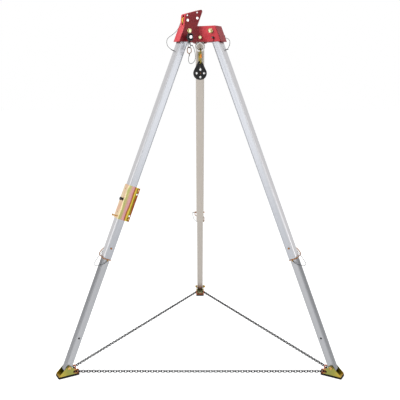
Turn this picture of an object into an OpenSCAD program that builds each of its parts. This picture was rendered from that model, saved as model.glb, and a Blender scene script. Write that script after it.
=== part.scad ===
// Folding rescue tripod: three telescopic aluminium legs on a steel plate head, with a guide
// tower for a winch rope, an eye bolt, a screw-gate carabiner, a pulley block and a safety chain.
// All sizes are in millimetres. Z is up, the floor is at Z = 0 and -Y faces the viewer.

/* [Stance] */
// Angle between each leg and the vertical
splay = 22.66; // [18:0.01:26]
// Distance from the centre line to each leg pivot
pivot_r = 106.6; // [102:0.1:125]
// Distance from the leg pivot to the foot pivot with the leg drawn out
leg_len = 2361; // [2250:1:2480]
// How far each lower leg slides up into the upper one
leg_travel = 632; // [500:1:640]

/* [Leg tubes] */
// Width of the outer square tube
outer_w = 60; // [56:0.5:62]
// Wall of the outer tube
outer_wall = 4.5; // [3.5:0.1:5.5]
// Outside corner radius of the outer tube
outer_corner = 12; // [8:0.5:13]
// Gap on each side between the two tubes
tube_gap = 1; // [0.5:0.1:1.5]
// Wall of the inner tube
inner_wall = 4; // [3:0.1:5]
// Distance from the leg pivot to the lower end of the outer tube
outer_len = 1600; // [1560:1:1660]
// Length of inner tube held inside the outer tube at full reach
tube_overlap = 330; // [250:1:380]
// Distance from the leg pivot to the telescope lock hole
lock_hole_t = 1525; // [1500:1:1540]
// Length of inner tube below the foot pivot
tube_toe = 25; // [20:0.5:28]
// Length of the plastic glide on top of the inner tube
glide_len = 60; // [40:1:90]
// Running gap round the glide
glide_gap = 0.4; // [0.3:0.05:0.8]

/* [Head plates] */
// Outside width of each channel arm
arm_w = 86; // [82:0.5:92]
// Thickness of the folded head plates
plate_t = 5; // [4:0.5:6]
// Height of the head plates
plate_h = 102; // [96:1:110]
// Distance from the leg pivot down to the lower edge of the plates
pivot_over_edge = 70; // [66:0.5:74]
// Reach of the channel end at its lower edge
arm_reach = 182; // [178:0.5:190]
// Half width of the flat fold between two cheeks
fold_half = 11; // [9:0.5:14]
// Height of the reinforcing strips along the lower edge
band_h = 21; // [16:0.5:22]
// Thickness of the reinforcing strips
band_t = 5; // [3:0.5:6]
// Distance from the centre line to the inner end of each strip
band_start = 50; // [46:0.5:56]
// Distance from the centre line to the outer end of each strip
band_end = 129; // [110:0.5:135]

/* [Pivots and pins] */
// Shank diameter of the leg pivot bolts
pivot_bolt_d = 16; // [12:0.5:18]
// Outside diameter of the sleeve that each leg turns on
sleeve_d = 24; // [20:0.5:26]
// Running gap between a shaft and its hole, on the radius
run_gap = 0.05; // [0.03:0.01:0.1]
// Gap on the radius between a bolt and a plain clearance hole
bolt_gap = 0.05; // [0.03:0.01:0.1]
// Shank diameter of the head lock pins
head_pin_d = 13; // [11:0.5:14]
// Distance from the leg pivot to the head lock pin
head_pin_t = 47; // [45:0.5:49]
// Shank diameter of the telescope lock pins
lock_pin_d = 12; // [9:0.5:13]
// Wire diameter of the lock pin bail
bail_d = 6; // [4:0.5:7]

/* [Hub and eye] */
// Height of the hub block
hub_h = 42; // [38:1:48]
// Height of the hub above the lower edge of the plates
hub_rise = 8; // [6:0.5:12]
// Distance from the centre line to each hub face on a leg's side
hub_arm_face = 48; // [44:0.5:50]
// Shank diameter of the eye bolt
eye_shank_d = 16; // [12:1:18]
// Outside diameter of the eye
eye_d = 68; // [62:1:74]
// Section diameter of the eye
eye_wire = 14.5; // [12:0.5:16]
// Height of the eye's centre below the lower edge of the plates
eye_drop = 29; // [28:0.5:34]
// Diameter of the rope way through the hub
rope_way_d = 16; // [12:1:17]

/* [Tower] */
// Sheet thickness of the tower
tower_t = 4; // [3:0.5:5]
// Outside width of the tower
tower_w = 60; // [56:1:66]
// Radius of the two guide sheaves
sheave_r = 24; // [22:0.5:25]
// Width of the guide sheaves
sheave_w = 18; // [14:1:20]
// Diameter of the sheave axles
axle_d = 12; // [8:1:14]
// Diameter of the rope keeper bolts
keeper_d = 6; // [4:0.5:8]
// Width of the rope slot in the outer end
slot_w = 20; // [19:0.5:24]
// Length of the rope slot in the outer end
slot_len = 66; // [56:1:68]

/* [Winch bracket] */
// Length of the bracket along the leg
bracket_len = 234; // [200:1:260]
// Distance from the leg pivot to the bracket's upper edge
bracket_t = 1090; // [1040:1:1140]
// Sheet thickness of the bracket
bracket_wall = 3; // [2.5:0.5:4]
// Reach of the bracket flanges past the leg
flange_reach = 26; // [22:1:32]
// Diameter of the two winch pin holes
winch_hole_d = 12; // [10:0.5:13]

/* [Feet] */
// Height of the foot pivot above the floor
foot_pivot_h = 66.2; // [62:0.1:72]
// Length of the pad outward of the foot pivot
foot_out = 73.3; // [68:0.1:80]
// Length of the pad inward of the foot pivot
foot_in = 69.8; // [66:0.1:76]
// Width of the foot
foot_w = 68.2; // [66:0.1:76]
// Sheet thickness of the foot bracket
foot_t = 4; // [3:0.5:5]
// Thickness of the rubber pad
pad_t = 13.5; // [11:0.5:15]
// Diameter of the foot bolts
foot_bolt_d = 12; // [10:0.5:14]

/* [Hanging gear] */
// Outside length of the carabiner
carabiner_len = 108; // [104:1:116]
// Outside width of the carabiner
carabiner_w = 60; // [56:1:64]
// Bar diameter of the carabiner
carabiner_bar = 10; // [9:0.5:11]
// Turn of the carabiner and pulley block about the vertical
gear_turn = 13; // [0:1:25]
// Width of the pulley block
block_w = 88; // [82:1:94]
// Distance from the block's hanging hole to its axle
block_drop = 67; // [62:1:74]
// Gap between the block's two cheeks
block_gap = 22; // [20:1:26]
// Thickness of each block cheek
block_cheek_t = 5; // [4:0.5:6]

/* [Chain and lanyards] */
// Wire diameter of the chain
chain_d = 4; // [3.5:0.1:4.2]
// Pitch of the chain links
chain_pitch = 17.6; // [17:0.1:19]
// Outside width of a chain link
link_w = 15; // [14.5:0.1:15.5]
// Radius of the chain's turn inside each foot
chain_turn_r = 36; // [34:0.5:38]
// Height of the chain above the floor
chain_h = 31; // [28:0.5:33]
// Wire diameter of the lanyards
lanyard_d = 2.4; // [2:0.1:3]

/* [Hidden] */

$fn = 48;
tiny = 0.01;
LEFT = 0;
RIGHT = 1;
BACK = 2;
arm_az = [210, 330, 90];
// Side of each leg that the heads of its telescope lock pin lie on
lock_side = [-1, 1, 1];

// Stance
pivot_z = foot_pivot_h + leg_len * cos(splay);
foot_r = pivot_r + leg_len * sin(splay);
foot_corner = 8;
foot_low_y = (foot_r + foot_out - foot_corner) / 2
  + (foot_w / 2 - foot_corner) * cos(30) + foot_corner;
frame_y = (foot_low_y - foot_r - foot_out) / 2;

// Head
plate_low = pivot_z - pivot_over_edge;
plate_top = plate_low + plate_h;
arm_half = arm_w / 2;
flap_round = 14;
arm_in = arm_half - plate_t;
fold_y = (arm_half + fold_half / 2) / cos(30);
fold_back_half = 2 * ((fold_y - plate_t) * cos(30) - arm_in);
fold_shift = (fold_back_half - fold_half) / plate_t;
hub_face = fold_y - plate_t;
hub_low = plate_low + hub_rise;
hub_bolt_d = 12;
hub_bolt_z = hub_low + hub_h / 2;
hub_bolt_len = 34;
head_pin_r = pivot_r + head_pin_t * sin(splay);
head_pin_z = pivot_z - head_pin_t * cos(splay);
rope_r = 24;

// Heads, nuts and washers: width across flats or diameter, then height
hub_head = [19, 8];
hub_washer = [24, 2];
eye_nut = [24, 13];
eye_washer = [30, 3];
eye_collar_d = 28;
eye_thread = 20;
pivot_head = [24, 10];
pivot_nut = [24, 14];
pivot_washer = [30, 3];
pivot_thread = 5;
axle_head = [18, 6];
axle_nut = [18, 8];
keeper_head = [10, 4];
foot_head = [19, 8];
foot_nut = [19, 10];
foot_thread = 4;
foot_spacer_d = 20;
clamp_bolt_d = 8;
clamp_head = [13, 6];
clamp_nut = [13, 7];
clamp_thread = 3;
// Gap at each end of a spacer that must not bind
end_gap = 0.15;

// Leg tubes
inner_w = outer_w - 2 * outer_wall - 2 * tube_gap;
inner_corner = outer_corner - outer_wall - tube_gap;
inner_top_t = outer_len - tube_overlap;
inner_end_t = leg_len + tube_toe;
slot_gap = 0.5;
glide_cap = 8;
rest_gap = 0.3;
// Height of the reinforcing strips, kept under the lock pins
band_rise = min(band_h, head_pin_z - head_pin_d / 2 - slot_gap - plate_low);

// Eye
eye_z = plate_low - eye_drop;
eye_r = (eye_d - eye_wire) / 2;

// Tower outline in the arm's plane: distance from the centre line, height over the plates
tower_low_out = 140;
tower_high_out = 130;
tower_high_z = 74;
tower_peak_in = -4;
tower_peak_z = 111;
tower_low_in = 42;
tower_round = 11;
tower_front = arm_in;
tower_rear = tower_front - tower_w;
tower_mid = (tower_front + tower_rear) / 2;
outer_axle = [117, 34];
inner_axle = [45, 50];
outer_keeper = [119.5, 65];
inner_keeper = [46, 86];
tower_groove_r = 6;
// Tab welded inside the front cheek, shelf over the rear one, and the open inner end's height
tab_in = 60;
tab_drop = 17;
shelf_in = 50;
mouth_z = tower_peak_z - 24;
// Angles of the tower's outer edge, roof and inner edge, and the length that the peak's rounding takes
lean = atan2(tower_low_out - tower_high_out, tower_high_z);
rise = atan2(tower_peak_z - tower_high_z, tower_high_out - tower_peak_in);
fall = atan2(tower_low_in - tower_peak_in, tower_peak_z);
peak_reach = tower_round / tan((90 - fall - rise) / 2);

// Winch bracket
flange_half = outer_w / 2 - 4;
flange_x = -outer_w / 2 - flange_reach;
bracket_bolt_x = -outer_w / 2 - flange_reach / 2 - 2;
winch_holes = [44, 196];
web_holes = [30, 190];
web_hole_d = 7;
hook_t = bracket_len - 14;
hook_d = 9;
hook_len = 24;
hook_head = [14, 4];
bracket_bolt_t = [16, 218];
plunger_t = bracket_t + 102;
plunger_d = 8;

// Lock pins, and the shackle and key ring on the left head pin
lock_head = 16;
lock_tip = 8;
bail_out = outer_w / 2 + bail_d / 2 + 1;
bail_head = outer_w / 2 + 12;
grip_y0 = arm_half + band_t + 1;
grip_y1 = grip_y0 + 42;
grip_w = 41;
grip_h = 46;
grip_web = grip_y0 + 12;
grip_web_t = 8;
grip_rim = 6;
boss_d = 26;
pin_tip = 14;
button_d = 22;
button_deep = 6;
button_play = 4.3;
button_out = 8;
ear_t = 6;
ear_r = 7;
ear_drop = 6;
ear_hole_d = 7;
ring_wire = 4;
ring_y = grip_y0 + 26;
shackle_w = 38;
shackle_h = 42;
shackle_z = head_pin_z - grip_h / 2 - ear_drop - 0.9 - (shackle_h - ring_wire) / 2;
key_ring_w = 34;
key_ring_h = 44;
key_ring_z = shackle_z - shackle_h / 2 + 2 * ring_wire + rest_gap - key_ring_h / 2;

// Feet
plate_z = pad_t - foot_pivot_h;
cheek_round = 14;
foot_edge = 4;
foot_lip = 5;
tab_z = plate_z + 34;
tab_round = 9;

// Carabiner and pulley block
bar_r = carabiner_bar / 2;
carabiner_end_r = carabiner_w / 2 - bar_r;
carabiner_top = eye_z - eye_r + eye_wire / 2 + bar_r + rest_gap;
carabiner_bottom = carabiner_top - carabiner_len + carabiner_bar;
carabiner_mid = (carabiner_top + carabiner_bottom) / 2;
carabiner_straight = carabiner_len / 2 - carabiner_w / 2;
gate_low = carabiner_mid - carabiner_straight + 2;
gate_len = 2 * carabiner_straight - 7;
gate_r = 4.6;
gate_pin_d = 3;
gate_pin_z = 4;
gate_pin_len = 13;
// Half gap between the gate's two ears, and the size of an ear, of the tongue and of the sleeve
ear_gap = 2.4;
gate_ear_t = 3.2;
ear_w = 8;
gate_ear_h = 9;
nose_len = 4;
tongue_w = 7.2;
tongue_h = 10;
screw_d = 14;
screw_len = 24;
block_hole_r = 9;
block_top_r = 14;
// Height of the carabiner's bar, where it leaves a cheek, over its lowest point
block_cheek_out = block_gap / 2 + block_cheek_t;
bar_rise = carabiner_end_r - sqrt(pow(carabiner_end_r, 2) - pow(block_cheek_out, 2));
bar_over = bar_r / cos(asin(block_cheek_out / carabiner_end_r));
block_hole_z = carabiner_bottom + bar_rise + bar_over + 3 * rest_gap - block_hole_r;
block_axle_z = block_hole_z - block_drop;
block_sheave_r = block_w / 2 - 8;
block_axle_d = 11;
block_head = [15, 3];
block_spacer_d = 8;
block_spacer = [15, -24];
block_groove_r = 8;
// Lightening holes of the cheeks: a keyhole over the axle and round ones about it
window_top = 46;
window_low = 24;
window_w = 8;
window_az = [0, 180, 270];
window_at = 26;
window_r = 8;

// Chain
chain_turn_centre = foot_r - foot_in + chain_turn_r - 28;
chain_straight = 2 * chain_turn_centre * cos(30);
// Links on the shorter side of each foot; the other side also has the one at mid-stretch
half_links = floor((chain_straight / chain_pitch - 1) / 2);
straight_pitch = chain_straight / (2 * half_links + 1);
turn_links = 5;
link_in = chain_pitch + 0.6;
chain_hole_len = 36;
chain_hole_h = 19;
chain_hole_r = foot_r - foot_in + 26;

// Outline of a square tube with rounded corners
module round_square(w, r) {
  square([w - 2 * r, w], center = true);
  square([w, w - 2 * r], center = true);
  for (x = [-1, 1], y = [-1, 1])
    translate([x * (w / 2 - r), y * (w / 2 - r)]) circle(r);
}

// Outline of a rectangle with rounded corners, from corner a to corner b
module round_box(a, b, r) {
  translate([a.x + r, a.y]) square([b.x - a.x - 2 * r, b.y - a.y]);
  translate([a.x, a.y + r]) square([b.x - a.x, b.y - a.y - 2 * r]);
  for (x = [a.x + r, b.x - r], y = [a.y + r, b.y - r]) translate([x, y]) circle(r);
}

// Outline of a hole with round ends, long in X
module long_hole(l, w) {
  square([l - w, w], center = true);
  for (x = [-1, 1]) translate([x * (l - w) / 2, 0]) circle(d = w);
}

// Frame of one arm: X outward, Y across, Z up, from the centre line on the floor
module at_arm(i) translate([0, frame_y, 0]) rotate([0, 0, arm_az[i]]) children();

// Frame of one leg: origin on its pivot, -Z down the leg, +X out of its outer face
module on_leg(i) at_arm(i) translate([pivot_r, 0, pivot_z]) rotate([0, -splay, 0]) children();

// Frame of one foot: origin on the foot pivot, level with the floor
module at_foot(i) at_arm(i) translate([foot_r, 0, foot_pivot_h]) children();

// Frame of the head's centre line, of the carabiner's plane and of the tower
module at_centre() translate([0, frame_y, 0]) children();
module at_gear() at_centre() rotate([0, 0, gear_turn]) children();
module at_tower() at_arm(LEFT) translate([0, 0, plate_top]) children();

// Rod along Y from y0 to y1
module y_rod(d, y0, y1) translate([0, y0, 0]) rotate([-90, 0, 0]) cylinder(d = d, h = y1 - y0);

// Hexagon bar along Y from y0 to y1, measured across its flats
module y_hex(af, y0, y1) translate([0, y0, 0]) rotate([-90, 0, 0])
  cylinder(d = af / cos(30), h = y1 - y0, $fn = 6);

// Plate of thickness t whose outline lies in the X-Z plane, from y0 towards +Y
module y_plate(y0, t) translate([0, y0 + t, 0]) rotate([90, 0, 0]) linear_extrude(t) children();

// Plan of one folded plate face, set back by s from its visible face
function fold_points(s, reach) = [
  [-(fold_half + s * fold_shift), -(fold_y - s)],
  [fold_half + s * fold_shift, -(fold_y - s)],
  [reach * cos(30) - (arm_half - s) / 2, -reach / 2 - (arm_half - s) * cos(30)]];
function mirrored(p) = [-p.x, p.y];
module fold_plan(s0, s1, reach) {
  f = fold_points(s0, reach);
  b = fold_points(s1, reach);
  polygon([f[1], f[2], b[2], b[1], mirrored(b[1]), mirrored(b[2]), mirrored(f[2]), mirrored(f[1])]);
}

// Everything past the sloped end of one arm, seen from the side
module past_end(back) y_plate(-arm_w, 2 * arm_w) polygon([
  [arm_reach - back, plate_low - tiny], [arm_reach - back - plate_h * tan(splay), plate_top + tiny],
  [arm_reach + plate_h, plate_top + tiny], [arm_reach + plate_h, plate_low - tiny]]);

// One folded plate: two cheeks, the fold between them and one sloped end flap.
// The plate's own fold faces -Y; k turns it to its place.
module head_plate(k) color("firebrick") translate([0, frame_y, 0]) rotate([0, 0, 120 * k]) {
  difference() {
    translate([0, 0, plate_low]) linear_extrude(plate_h) fold_plan(0, plate_t, arm_reach);
    for (a = [210, 330]) rotate([0, 0, a]) {
      past_end(0);
      translate([pivot_r, 0, pivot_z]) y_rod(pivot_bolt_d + 2 * bolt_gap, -arm_w, arm_w);
      translate([head_pin_r, 0, head_pin_z]) y_rod(head_pin_d + 2 * run_gap, -arm_w, arm_w);
    }
    translate([0, 0, hub_bolt_z]) y_rod(hub_bolt_d + 2 * bolt_gap, -arm_w, 0);
  }
  rotate([0, 0, 330]) end_flap();
}

// Sloped flap folded from the cheek at -Y, with its free top corner rounded
module end_flap() difference() {
  y_plate(-arm_in, 2 * arm_in - rest_gap) polygon([
    [arm_reach, plate_low], [arm_reach - plate_h * tan(splay), plate_top],
    [arm_reach - plate_h * tan(splay) - plate_t / cos(splay), plate_top],
    [arm_reach - plate_t / cos(splay), plate_low]]);
  translate([arm_reach - plate_h, arm_in - rest_gap - flap_round, plate_top - flap_round])
    rotate([90, 0, 90]) linear_extrude(plate_h) difference() {
      square(flap_round + 1);
      circle(flap_round);
    }
}

module head_plate_front() head_plate(0);
module head_plate_right() head_plate(1);
module head_plate_left() head_plate(2);

// Reinforcing strips along the lower edge of the six cheeks
module head_bands() color("firebrick") for (i = [LEFT, RIGHT, BACK], s = [0, 1])
  at_arm(i) mirror([0, s, 0]) y_plate(arm_half, band_t)
    round_box([band_start, plate_low], [band_end, plate_low + band_rise], band_rise / 3);

// Hub block that the three plates are bolted to
module hub() color("dimgray") at_centre() difference() {
  translate([0, 0, hub_low]) linear_extrude(hub_h) intersection_for(k = [0 : 2])
    rotate(120 * k) translate([-2 * hub_face, -hub_face])
      square([4 * hub_face, hub_face + hub_arm_face]);
  translate([0, 0, hub_low - 1]) cylinder(d = eye_shank_d + 2 * bolt_gap, h = hub_h + 2);
  rotate([0, 0, arm_az[LEFT]]) translate([rope_r, 0, hub_low - 1])
    cylinder(d = rope_way_d, h = hub_h + 2);
  for (k = [0 : 2]) rotate([0, 0, 120 * k]) translate([0, 0, hub_bolt_z])
    y_rod(hub_bolt_d + 2 * bolt_gap, -hub_face - 1, -fold_y + hub_bolt_len + 1);
}

// Bolts that hold the plates to the hub, and the nut and washer of the eye bolt
module hub_bolts() color("goldenrod") at_centre() {
  for (k = [0 : 2]) rotate([0, 0, 120 * k]) translate([0, 0, hub_bolt_z]) {
    y_rod(hub_bolt_d, -fold_y, -fold_y + hub_bolt_len);
    y_rod(hub_washer[0], -fold_y - hub_washer[1], -fold_y);
    y_hex(hub_head[0], -fold_y - hub_washer[1] - hub_head[1], -fold_y - hub_washer[1]);
  }
  translate([0, 0, hub_low + hub_h]) difference() {
    union() {
      cylinder(d = eye_washer[0], h = eye_washer[1]);
      translate([0, 0, eye_washer[1]]) cylinder(d = eye_nut[0] / cos(30), h = eye_nut[1], $fn = 6);
    }
    translate([0, 0, -1]) cylinder(d = eye_shank_d + 2 * bolt_gap, h = eye_thread);
  }
}

// Eye bolt under the hub
module eye_bolt() color("silver") at_centre() {
  top = eye_z + eye_r;
  translate([0, 0, eye_z]) rotate([90, 0, 0]) rotate_extrude() translate([eye_r, 0])
    circle(d = eye_wire);
  translate([0, 0, top]) cylinder(d = eye_shank_d, h = hub_low + hub_h + eye_thread - top);
  translate([0, 0, top + 2]) cylinder(d = eye_collar_d, h = hub_low - top - 2);
}

// Pivot bolts of the legs, with washers and nuts
module pivot_bolts() color("goldenrod") for (i = [LEFT, RIGHT, BACK])
  at_arm(i) translate([pivot_r, 0, pivot_z]) {
    w = pivot_washer[1];
    nut_end = -arm_half - w - pivot_nut[1];
    y_rod(pivot_bolt_d, nut_end - pivot_thread, arm_half);
    y_rod(pivot_washer[0], arm_half, arm_half + w);
    y_hex(pivot_head[0], arm_half + w, arm_half + w + pivot_head[1]);
    difference() {
      union() {
        y_rod(pivot_washer[0], -arm_half - w, -arm_half);
        y_hex(pivot_nut[0], nut_end, -arm_half - w);
      }
      y_rod(pivot_bolt_d - tiny, nut_end - 1, -arm_half + 1);
    }
  }

// Points along an arc about c in n steps, from one angle to another
function arc(c, r, from, to, n) =
  [for (k = [0 : n]) let (t = from + (to - from) * k / n) c + r * [cos(t), sin(t)]];

// Side outline of the tower, set in by s; only the outermost one has its peak rounded
module tower_side(s) {
  high = [tower_high_out, tower_high_z] + tower_round * tan((90 - rise - lean) / 2) * [sin(lean), -cos(lean)]
    - tower_round * [cos(lean), sin(lean)];
  peak = [tower_peak_in, tower_peak_z];
  top = peak - s * [sin(rise), cos(rise)];
  tip = peak + peak_reach * [cos(rise), -sin(rise)] - tower_round * [sin(rise), cos(rise)];
  polygon(concat(
    [[tower_low_out - s / cos(lean), 0]],
    arc(high, tower_round - s, lean, 90 - rise, 5),
    s > 0 ? [top] : arc(tip, tower_round, 90 - rise, 180 + fall, 8),
    [[tower_low_in, 0]]));
}

// Folded guide tower on the left arm, open at its inner end and underneath
module tower() color("firebrick") at_tower() difference() {
  union() {
    y_plate(tower_rear, tower_w) tower_side(0);
    y_plate(tower_front - tower_t, tower_t) polygon([[tab_in, 1], [tower_low_out - 6, 1],
      [tower_low_out - 6, -tab_drop], [tab_in, -tab_drop]]);
    y_plate(-arm_half, arm_half + tower_rear + tower_t) polygon([[shelf_in, 0],
      [tower_low_out - 4, 0], [tower_low_out - 4, tower_t], [shelf_in, tower_t]]);
  }
  y_plate(tower_rear + tower_t, tower_w - 2 * tower_t) {
    tower_side(tower_t);
    translate([-20, -1]) square([tower_low_out + 14, 1 + tiny]);
    polygon([[tower_peak_in - 20, mouth_z], [tower_peak_in - 20, -1], [70, -1], [40, mouth_z]]);
    translate([tower_peak_in, tower_peak_z]) rotate(-rise) translate([-peak_reach, -2 * tower_round])
      square([2 * peak_reach, 4 * tower_round]);
  }
  for (p = [outer_axle, inner_axle]) translate([p.x, 0, p.y])
    y_rod(axle_d + 2 * bolt_gap, -arm_w, arm_w);
  for (p = [outer_keeper, inner_keeper]) translate([p.x, 0, p.y])
    y_rod(keeper_d + 2 * bolt_gap, -arm_w, arm_w);
  translate([tower_low_out - 30, tower_mid, tower_high_z / 2]) rotate([0, 90, 0])
    linear_extrude(60) long_hole(slot_len, slot_w);
}

// Axles, spacers and rope keeper bolts of the tower
module tower_bolts() color("goldenrod") at_tower() {
  for (p = [outer_axle, inner_axle]) translate([p.x, 0, p.y]) {
    y_rod(axle_d, tower_rear - axle_nut[1], tower_front);
    y_rod(axle_head[0], tower_front, tower_front + axle_head[1]);
    y_hex(axle_nut[0], tower_rear - axle_nut[1], tower_rear);
    from = sheave_w / 2 + end_gap;
    to = tower_w / 2 - tower_t - end_gap;
    for (s = [0, 1]) translate([0, tower_mid, 0]) mirror([0, s, 0]) difference() {
      y_rod(axle_head[0], from, to);
      y_rod(axle_d, from - 1, to + 1);
    }
  }
  for (p = [outer_keeper, inner_keeper]) translate([p.x, 0, p.y]) {
    y_rod(keeper_d, tower_rear - keeper_head[1], tower_front);
    y_hex(keeper_head[0], tower_front, tower_front + keeper_head[1]);
    y_hex(keeper_head[0], tower_rear - keeper_head[1], tower_rear);
  }
}

// Grooved rope sheave on a Y axis, with its bore
module rope_sheave(r, w, bore_d, groove_r) rotate([90, 0, 0]) rotate_extrude() difference() {
  translate([bore_d / 2, -w / 2]) square([r - bore_d / 2, w]);
  translate([r + 1, 0]) circle(groove_r);
}

module tower_sheave(p) color("gold") at_tower() translate([p.x, tower_mid, p.y])
  rope_sheave(sheave_r, sheave_w, axle_d + 2 * run_gap, tower_groove_r);
module sheave_outer() tower_sheave(outer_axle);
module sheave_inner() tower_sheave(inner_axle);

// Arc-shaped slot outline that clears the head pin while the leg folds
module pin_slot() {
  w = head_pin_d / 2 + slot_gap;
  intersection() {
    difference() {
      circle(head_pin_t + w);
      circle(head_pin_t - w);
    }
    polygon([[0, 0], [0, -2 * head_pin_t], [2 * head_pin_t * tan(splay), -2 * head_pin_t]]);
  }
  for (a = [0, splay]) translate(head_pin_t * [sin(a), -cos(a)]) circle(w);
}

// Upper leg tube with its round top, pin slot and lock hole
module outer_tube(i) color("lightgray") on_leg(i) difference() {
  union() {
    translate([0, 0, -outer_len]) linear_extrude(outer_len) difference() {
      round_square(outer_w, outer_corner);
      round_square(outer_w - 2 * outer_wall, outer_corner - outer_wall);
    }
    intersection() {
      translate([0, 0, -1]) linear_extrude(outer_w) difference() {
        round_square(outer_w, outer_corner);
        round_square(outer_w - 2 * outer_wall, outer_corner - outer_wall);
      }
      y_rod(outer_w, -outer_w, outer_w);
    }
  }
  y_rod(sleeve_d, -outer_w, outer_w);
  y_plate(-outer_w, 2 * outer_w) pin_slot();
  translate([0, 0, -lock_hole_t]) y_rod(lock_pin_d + 2 * run_gap, -outer_w, outer_w);
  if (i == LEFT) translate([0, 0, -plunger_t]) rotate([0, 90, 0])
    cylinder(d = plunger_d + 1, h = outer_w);
}
module outer_tube_left() outer_tube(LEFT);
module outer_tube_right() outer_tube(RIGHT);
module outer_tube_back() outer_tube(BACK);

// Steel sleeve through the top of each leg, which turns on the pivot bolt
module pivot_sleeve(i) color("gray") on_leg(i) difference() {
  y_rod(sleeve_d, -arm_in + rest_gap, arm_in - rest_gap);
  y_rod(pivot_bolt_d + 2 * run_gap, -arm_w, arm_w);
}
module pivot_sleeve_left() pivot_sleeve(LEFT);
module pivot_sleeve_right() pivot_sleeve(RIGHT);
module pivot_sleeve_back() pivot_sleeve(BACK);

// Lower leg tube with its foot bolt hole and the hole that locks it drawn in
module inner_tube(i) color("silver") on_leg(i) difference() {
  translate([0, 0, -inner_end_t]) linear_extrude(inner_end_t - inner_top_t) difference() {
    round_square(inner_w, inner_corner);
    round_square(inner_w - 2 * inner_wall, inner_corner - inner_wall);
  }
  translate([0, 0, -leg_len]) y_rod(foot_bolt_d + 2 * run_gap, -outer_w, outer_w);
  for (t = [lock_hole_t, lock_hole_t + leg_travel]) translate([0, 0, -t])
    y_rod(lock_pin_d + 1, -outer_w, outer_w);
}
module inner_tube_left() inner_tube(LEFT);
module inner_tube_right() inner_tube(RIGHT);
module inner_tube_back() inner_tube(BACK);

// Plastic glide plugged into the top of the lower tube
module glide(i) color("black") on_leg(i) {
  translate([0, 0, -inner_top_t]) linear_extrude(glide_cap)
    round_square(outer_w - 2 * outer_wall - 2 * glide_gap, outer_corner - outer_wall);
  translate([0, 0, -inner_top_t - glide_len]) linear_extrude(glide_len)
    round_square(inner_w - 2 * inner_wall - 2 * run_gap, inner_corner - inner_wall);
}
module glide_left() glide(LEFT);
module glide_right() glide(RIGHT);
module glide_back() glide(BACK);

// Folded steel foot: base plate and two cheeks, with a slot for the chain in each cheek
module foot_bracket(i) color("goldenrod") at_foot(i) difference() {
  union() {
    for (s = [0, 1]) y_plate(s ? foot_w / 2 - foot_t : -foot_w / 2, foot_t) foot_cheek();
    translate([-foot_in + foot_edge, -foot_w / 2, plate_z])
      cube([foot_in + foot_out - 2 * foot_edge, foot_w, foot_t]);
  }
  y_rod(foot_bolt_d + 2 * bolt_gap, -foot_w, foot_w);
  translate([chain_hole_r - foot_r, 0, chain_h - foot_pivot_h]) y_plate(-foot_w, 2 * foot_w)
    long_hole(chain_hole_len, chain_hole_h);
}
// Outline of the foot bracket's cheek: a round top over the pivot, a square end round the chain
module foot_cheek() {
  a = [-foot_in + foot_edge, plate_z];
  b = [foot_out - foot_edge, plate_z + foot_lip];
  low = a + [0, foot_lip];
  from = tangent_angle(b, 1);
  to = tangent_angle(low, -1) + 360;
  rim = arc([0, 0], cheek_round, from, to, 12);
  top = rim[12];
  cut = low.x + (tab_z - low.y) * (top.x - low.x) / (top.y - low.y);
  corner = [a.x + tab_round, tab_z - tab_round];
  polygon(concat([a, [b.x, a.y], b], rim, [[cut, tab_z]],
    [for (t = [90 : 15 : 180]) corner + tab_round * [cos(t), sin(t)]]));
}
// Angle at which a line from p touches the round top, on the side s
function tangent_angle(p, s) = atan2(p.y, p.x) + s * acos(cheek_round / norm(p));
module foot_bracket_left() foot_bracket(LEFT);
module foot_bracket_right() foot_bracket(RIGHT);
module foot_bracket_back() foot_bracket(BACK);

// Rubber pad under each foot
module foot_pad(i) color([0.1, 0.1, 0.1]) at_foot(i) translate([0, 0, -foot_pivot_h])
  linear_extrude(pad_t) round_box([-foot_in, -foot_w / 2], [foot_out, foot_w / 2], foot_corner);
module foot_pad_left() foot_pad(LEFT);
module foot_pad_right() foot_pad(RIGHT);
module foot_pad_back() foot_pad(BACK);

// Foot bolt with its nut, and a spacer on each side of the tube
module foot_bolt(i) color("goldenrod") at_foot(i) {
  half = foot_w / 2;
  y_rod(foot_bolt_d, -half - foot_nut[1] - foot_thread, half);
  y_hex(foot_head[0], half, half + foot_head[1]);
  y_hex(foot_nut[0], -half - foot_nut[1], -half);
  for (s = [0, 1]) mirror([0, s, 0]) difference() {
    y_rod(foot_spacer_d, inner_w / 2 + end_gap, half - foot_t - end_gap);
    y_rod(foot_bolt_d, 0, half);
  }
}
module foot_bolt_left() foot_bolt(LEFT);
module foot_bolt_right() foot_bolt(RIGHT);
module foot_bolt_back() foot_bolt(BACK);

// Telescope lock pin: two ends in the outer tube's walls and the spring wire bail
module lock_pin(i) color("goldenrod") on_leg(i) translate([0, 0, -lock_hole_t])
  scale_y(lock_side[i]) {
  wall_in = outer_w / 2 - outer_wall + rest_gap;
  y_rod(lock_pin_d, wall_in, outer_w / 2 + lock_head);
  y_rod(lock_pin_d, -outer_w / 2 - lock_tip, -wall_in);
  sweep(bail_d, smooth([[-1, bail_head, 0], [14, bail_head, -10], [bail_out, bail_head, -48],
    [bail_out + 4, outer_w / 2, -66], [bail_out + 4, 0, -70], [bail_out + 3, -outer_w / 2, -73],
    [bail_out - 10, -bail_out, -76], [-outer_w / 2 + 6, -bail_out, -77]], 4), 12);
}
module scale_y(s) mirror([0, s < 0 ? 1 : 0, 0]) children();
module lock_pin_left() lock_pin(LEFT);
module lock_pin_right() lock_pin(RIGHT);
module lock_pin_back() lock_pin(BACK);

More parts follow.
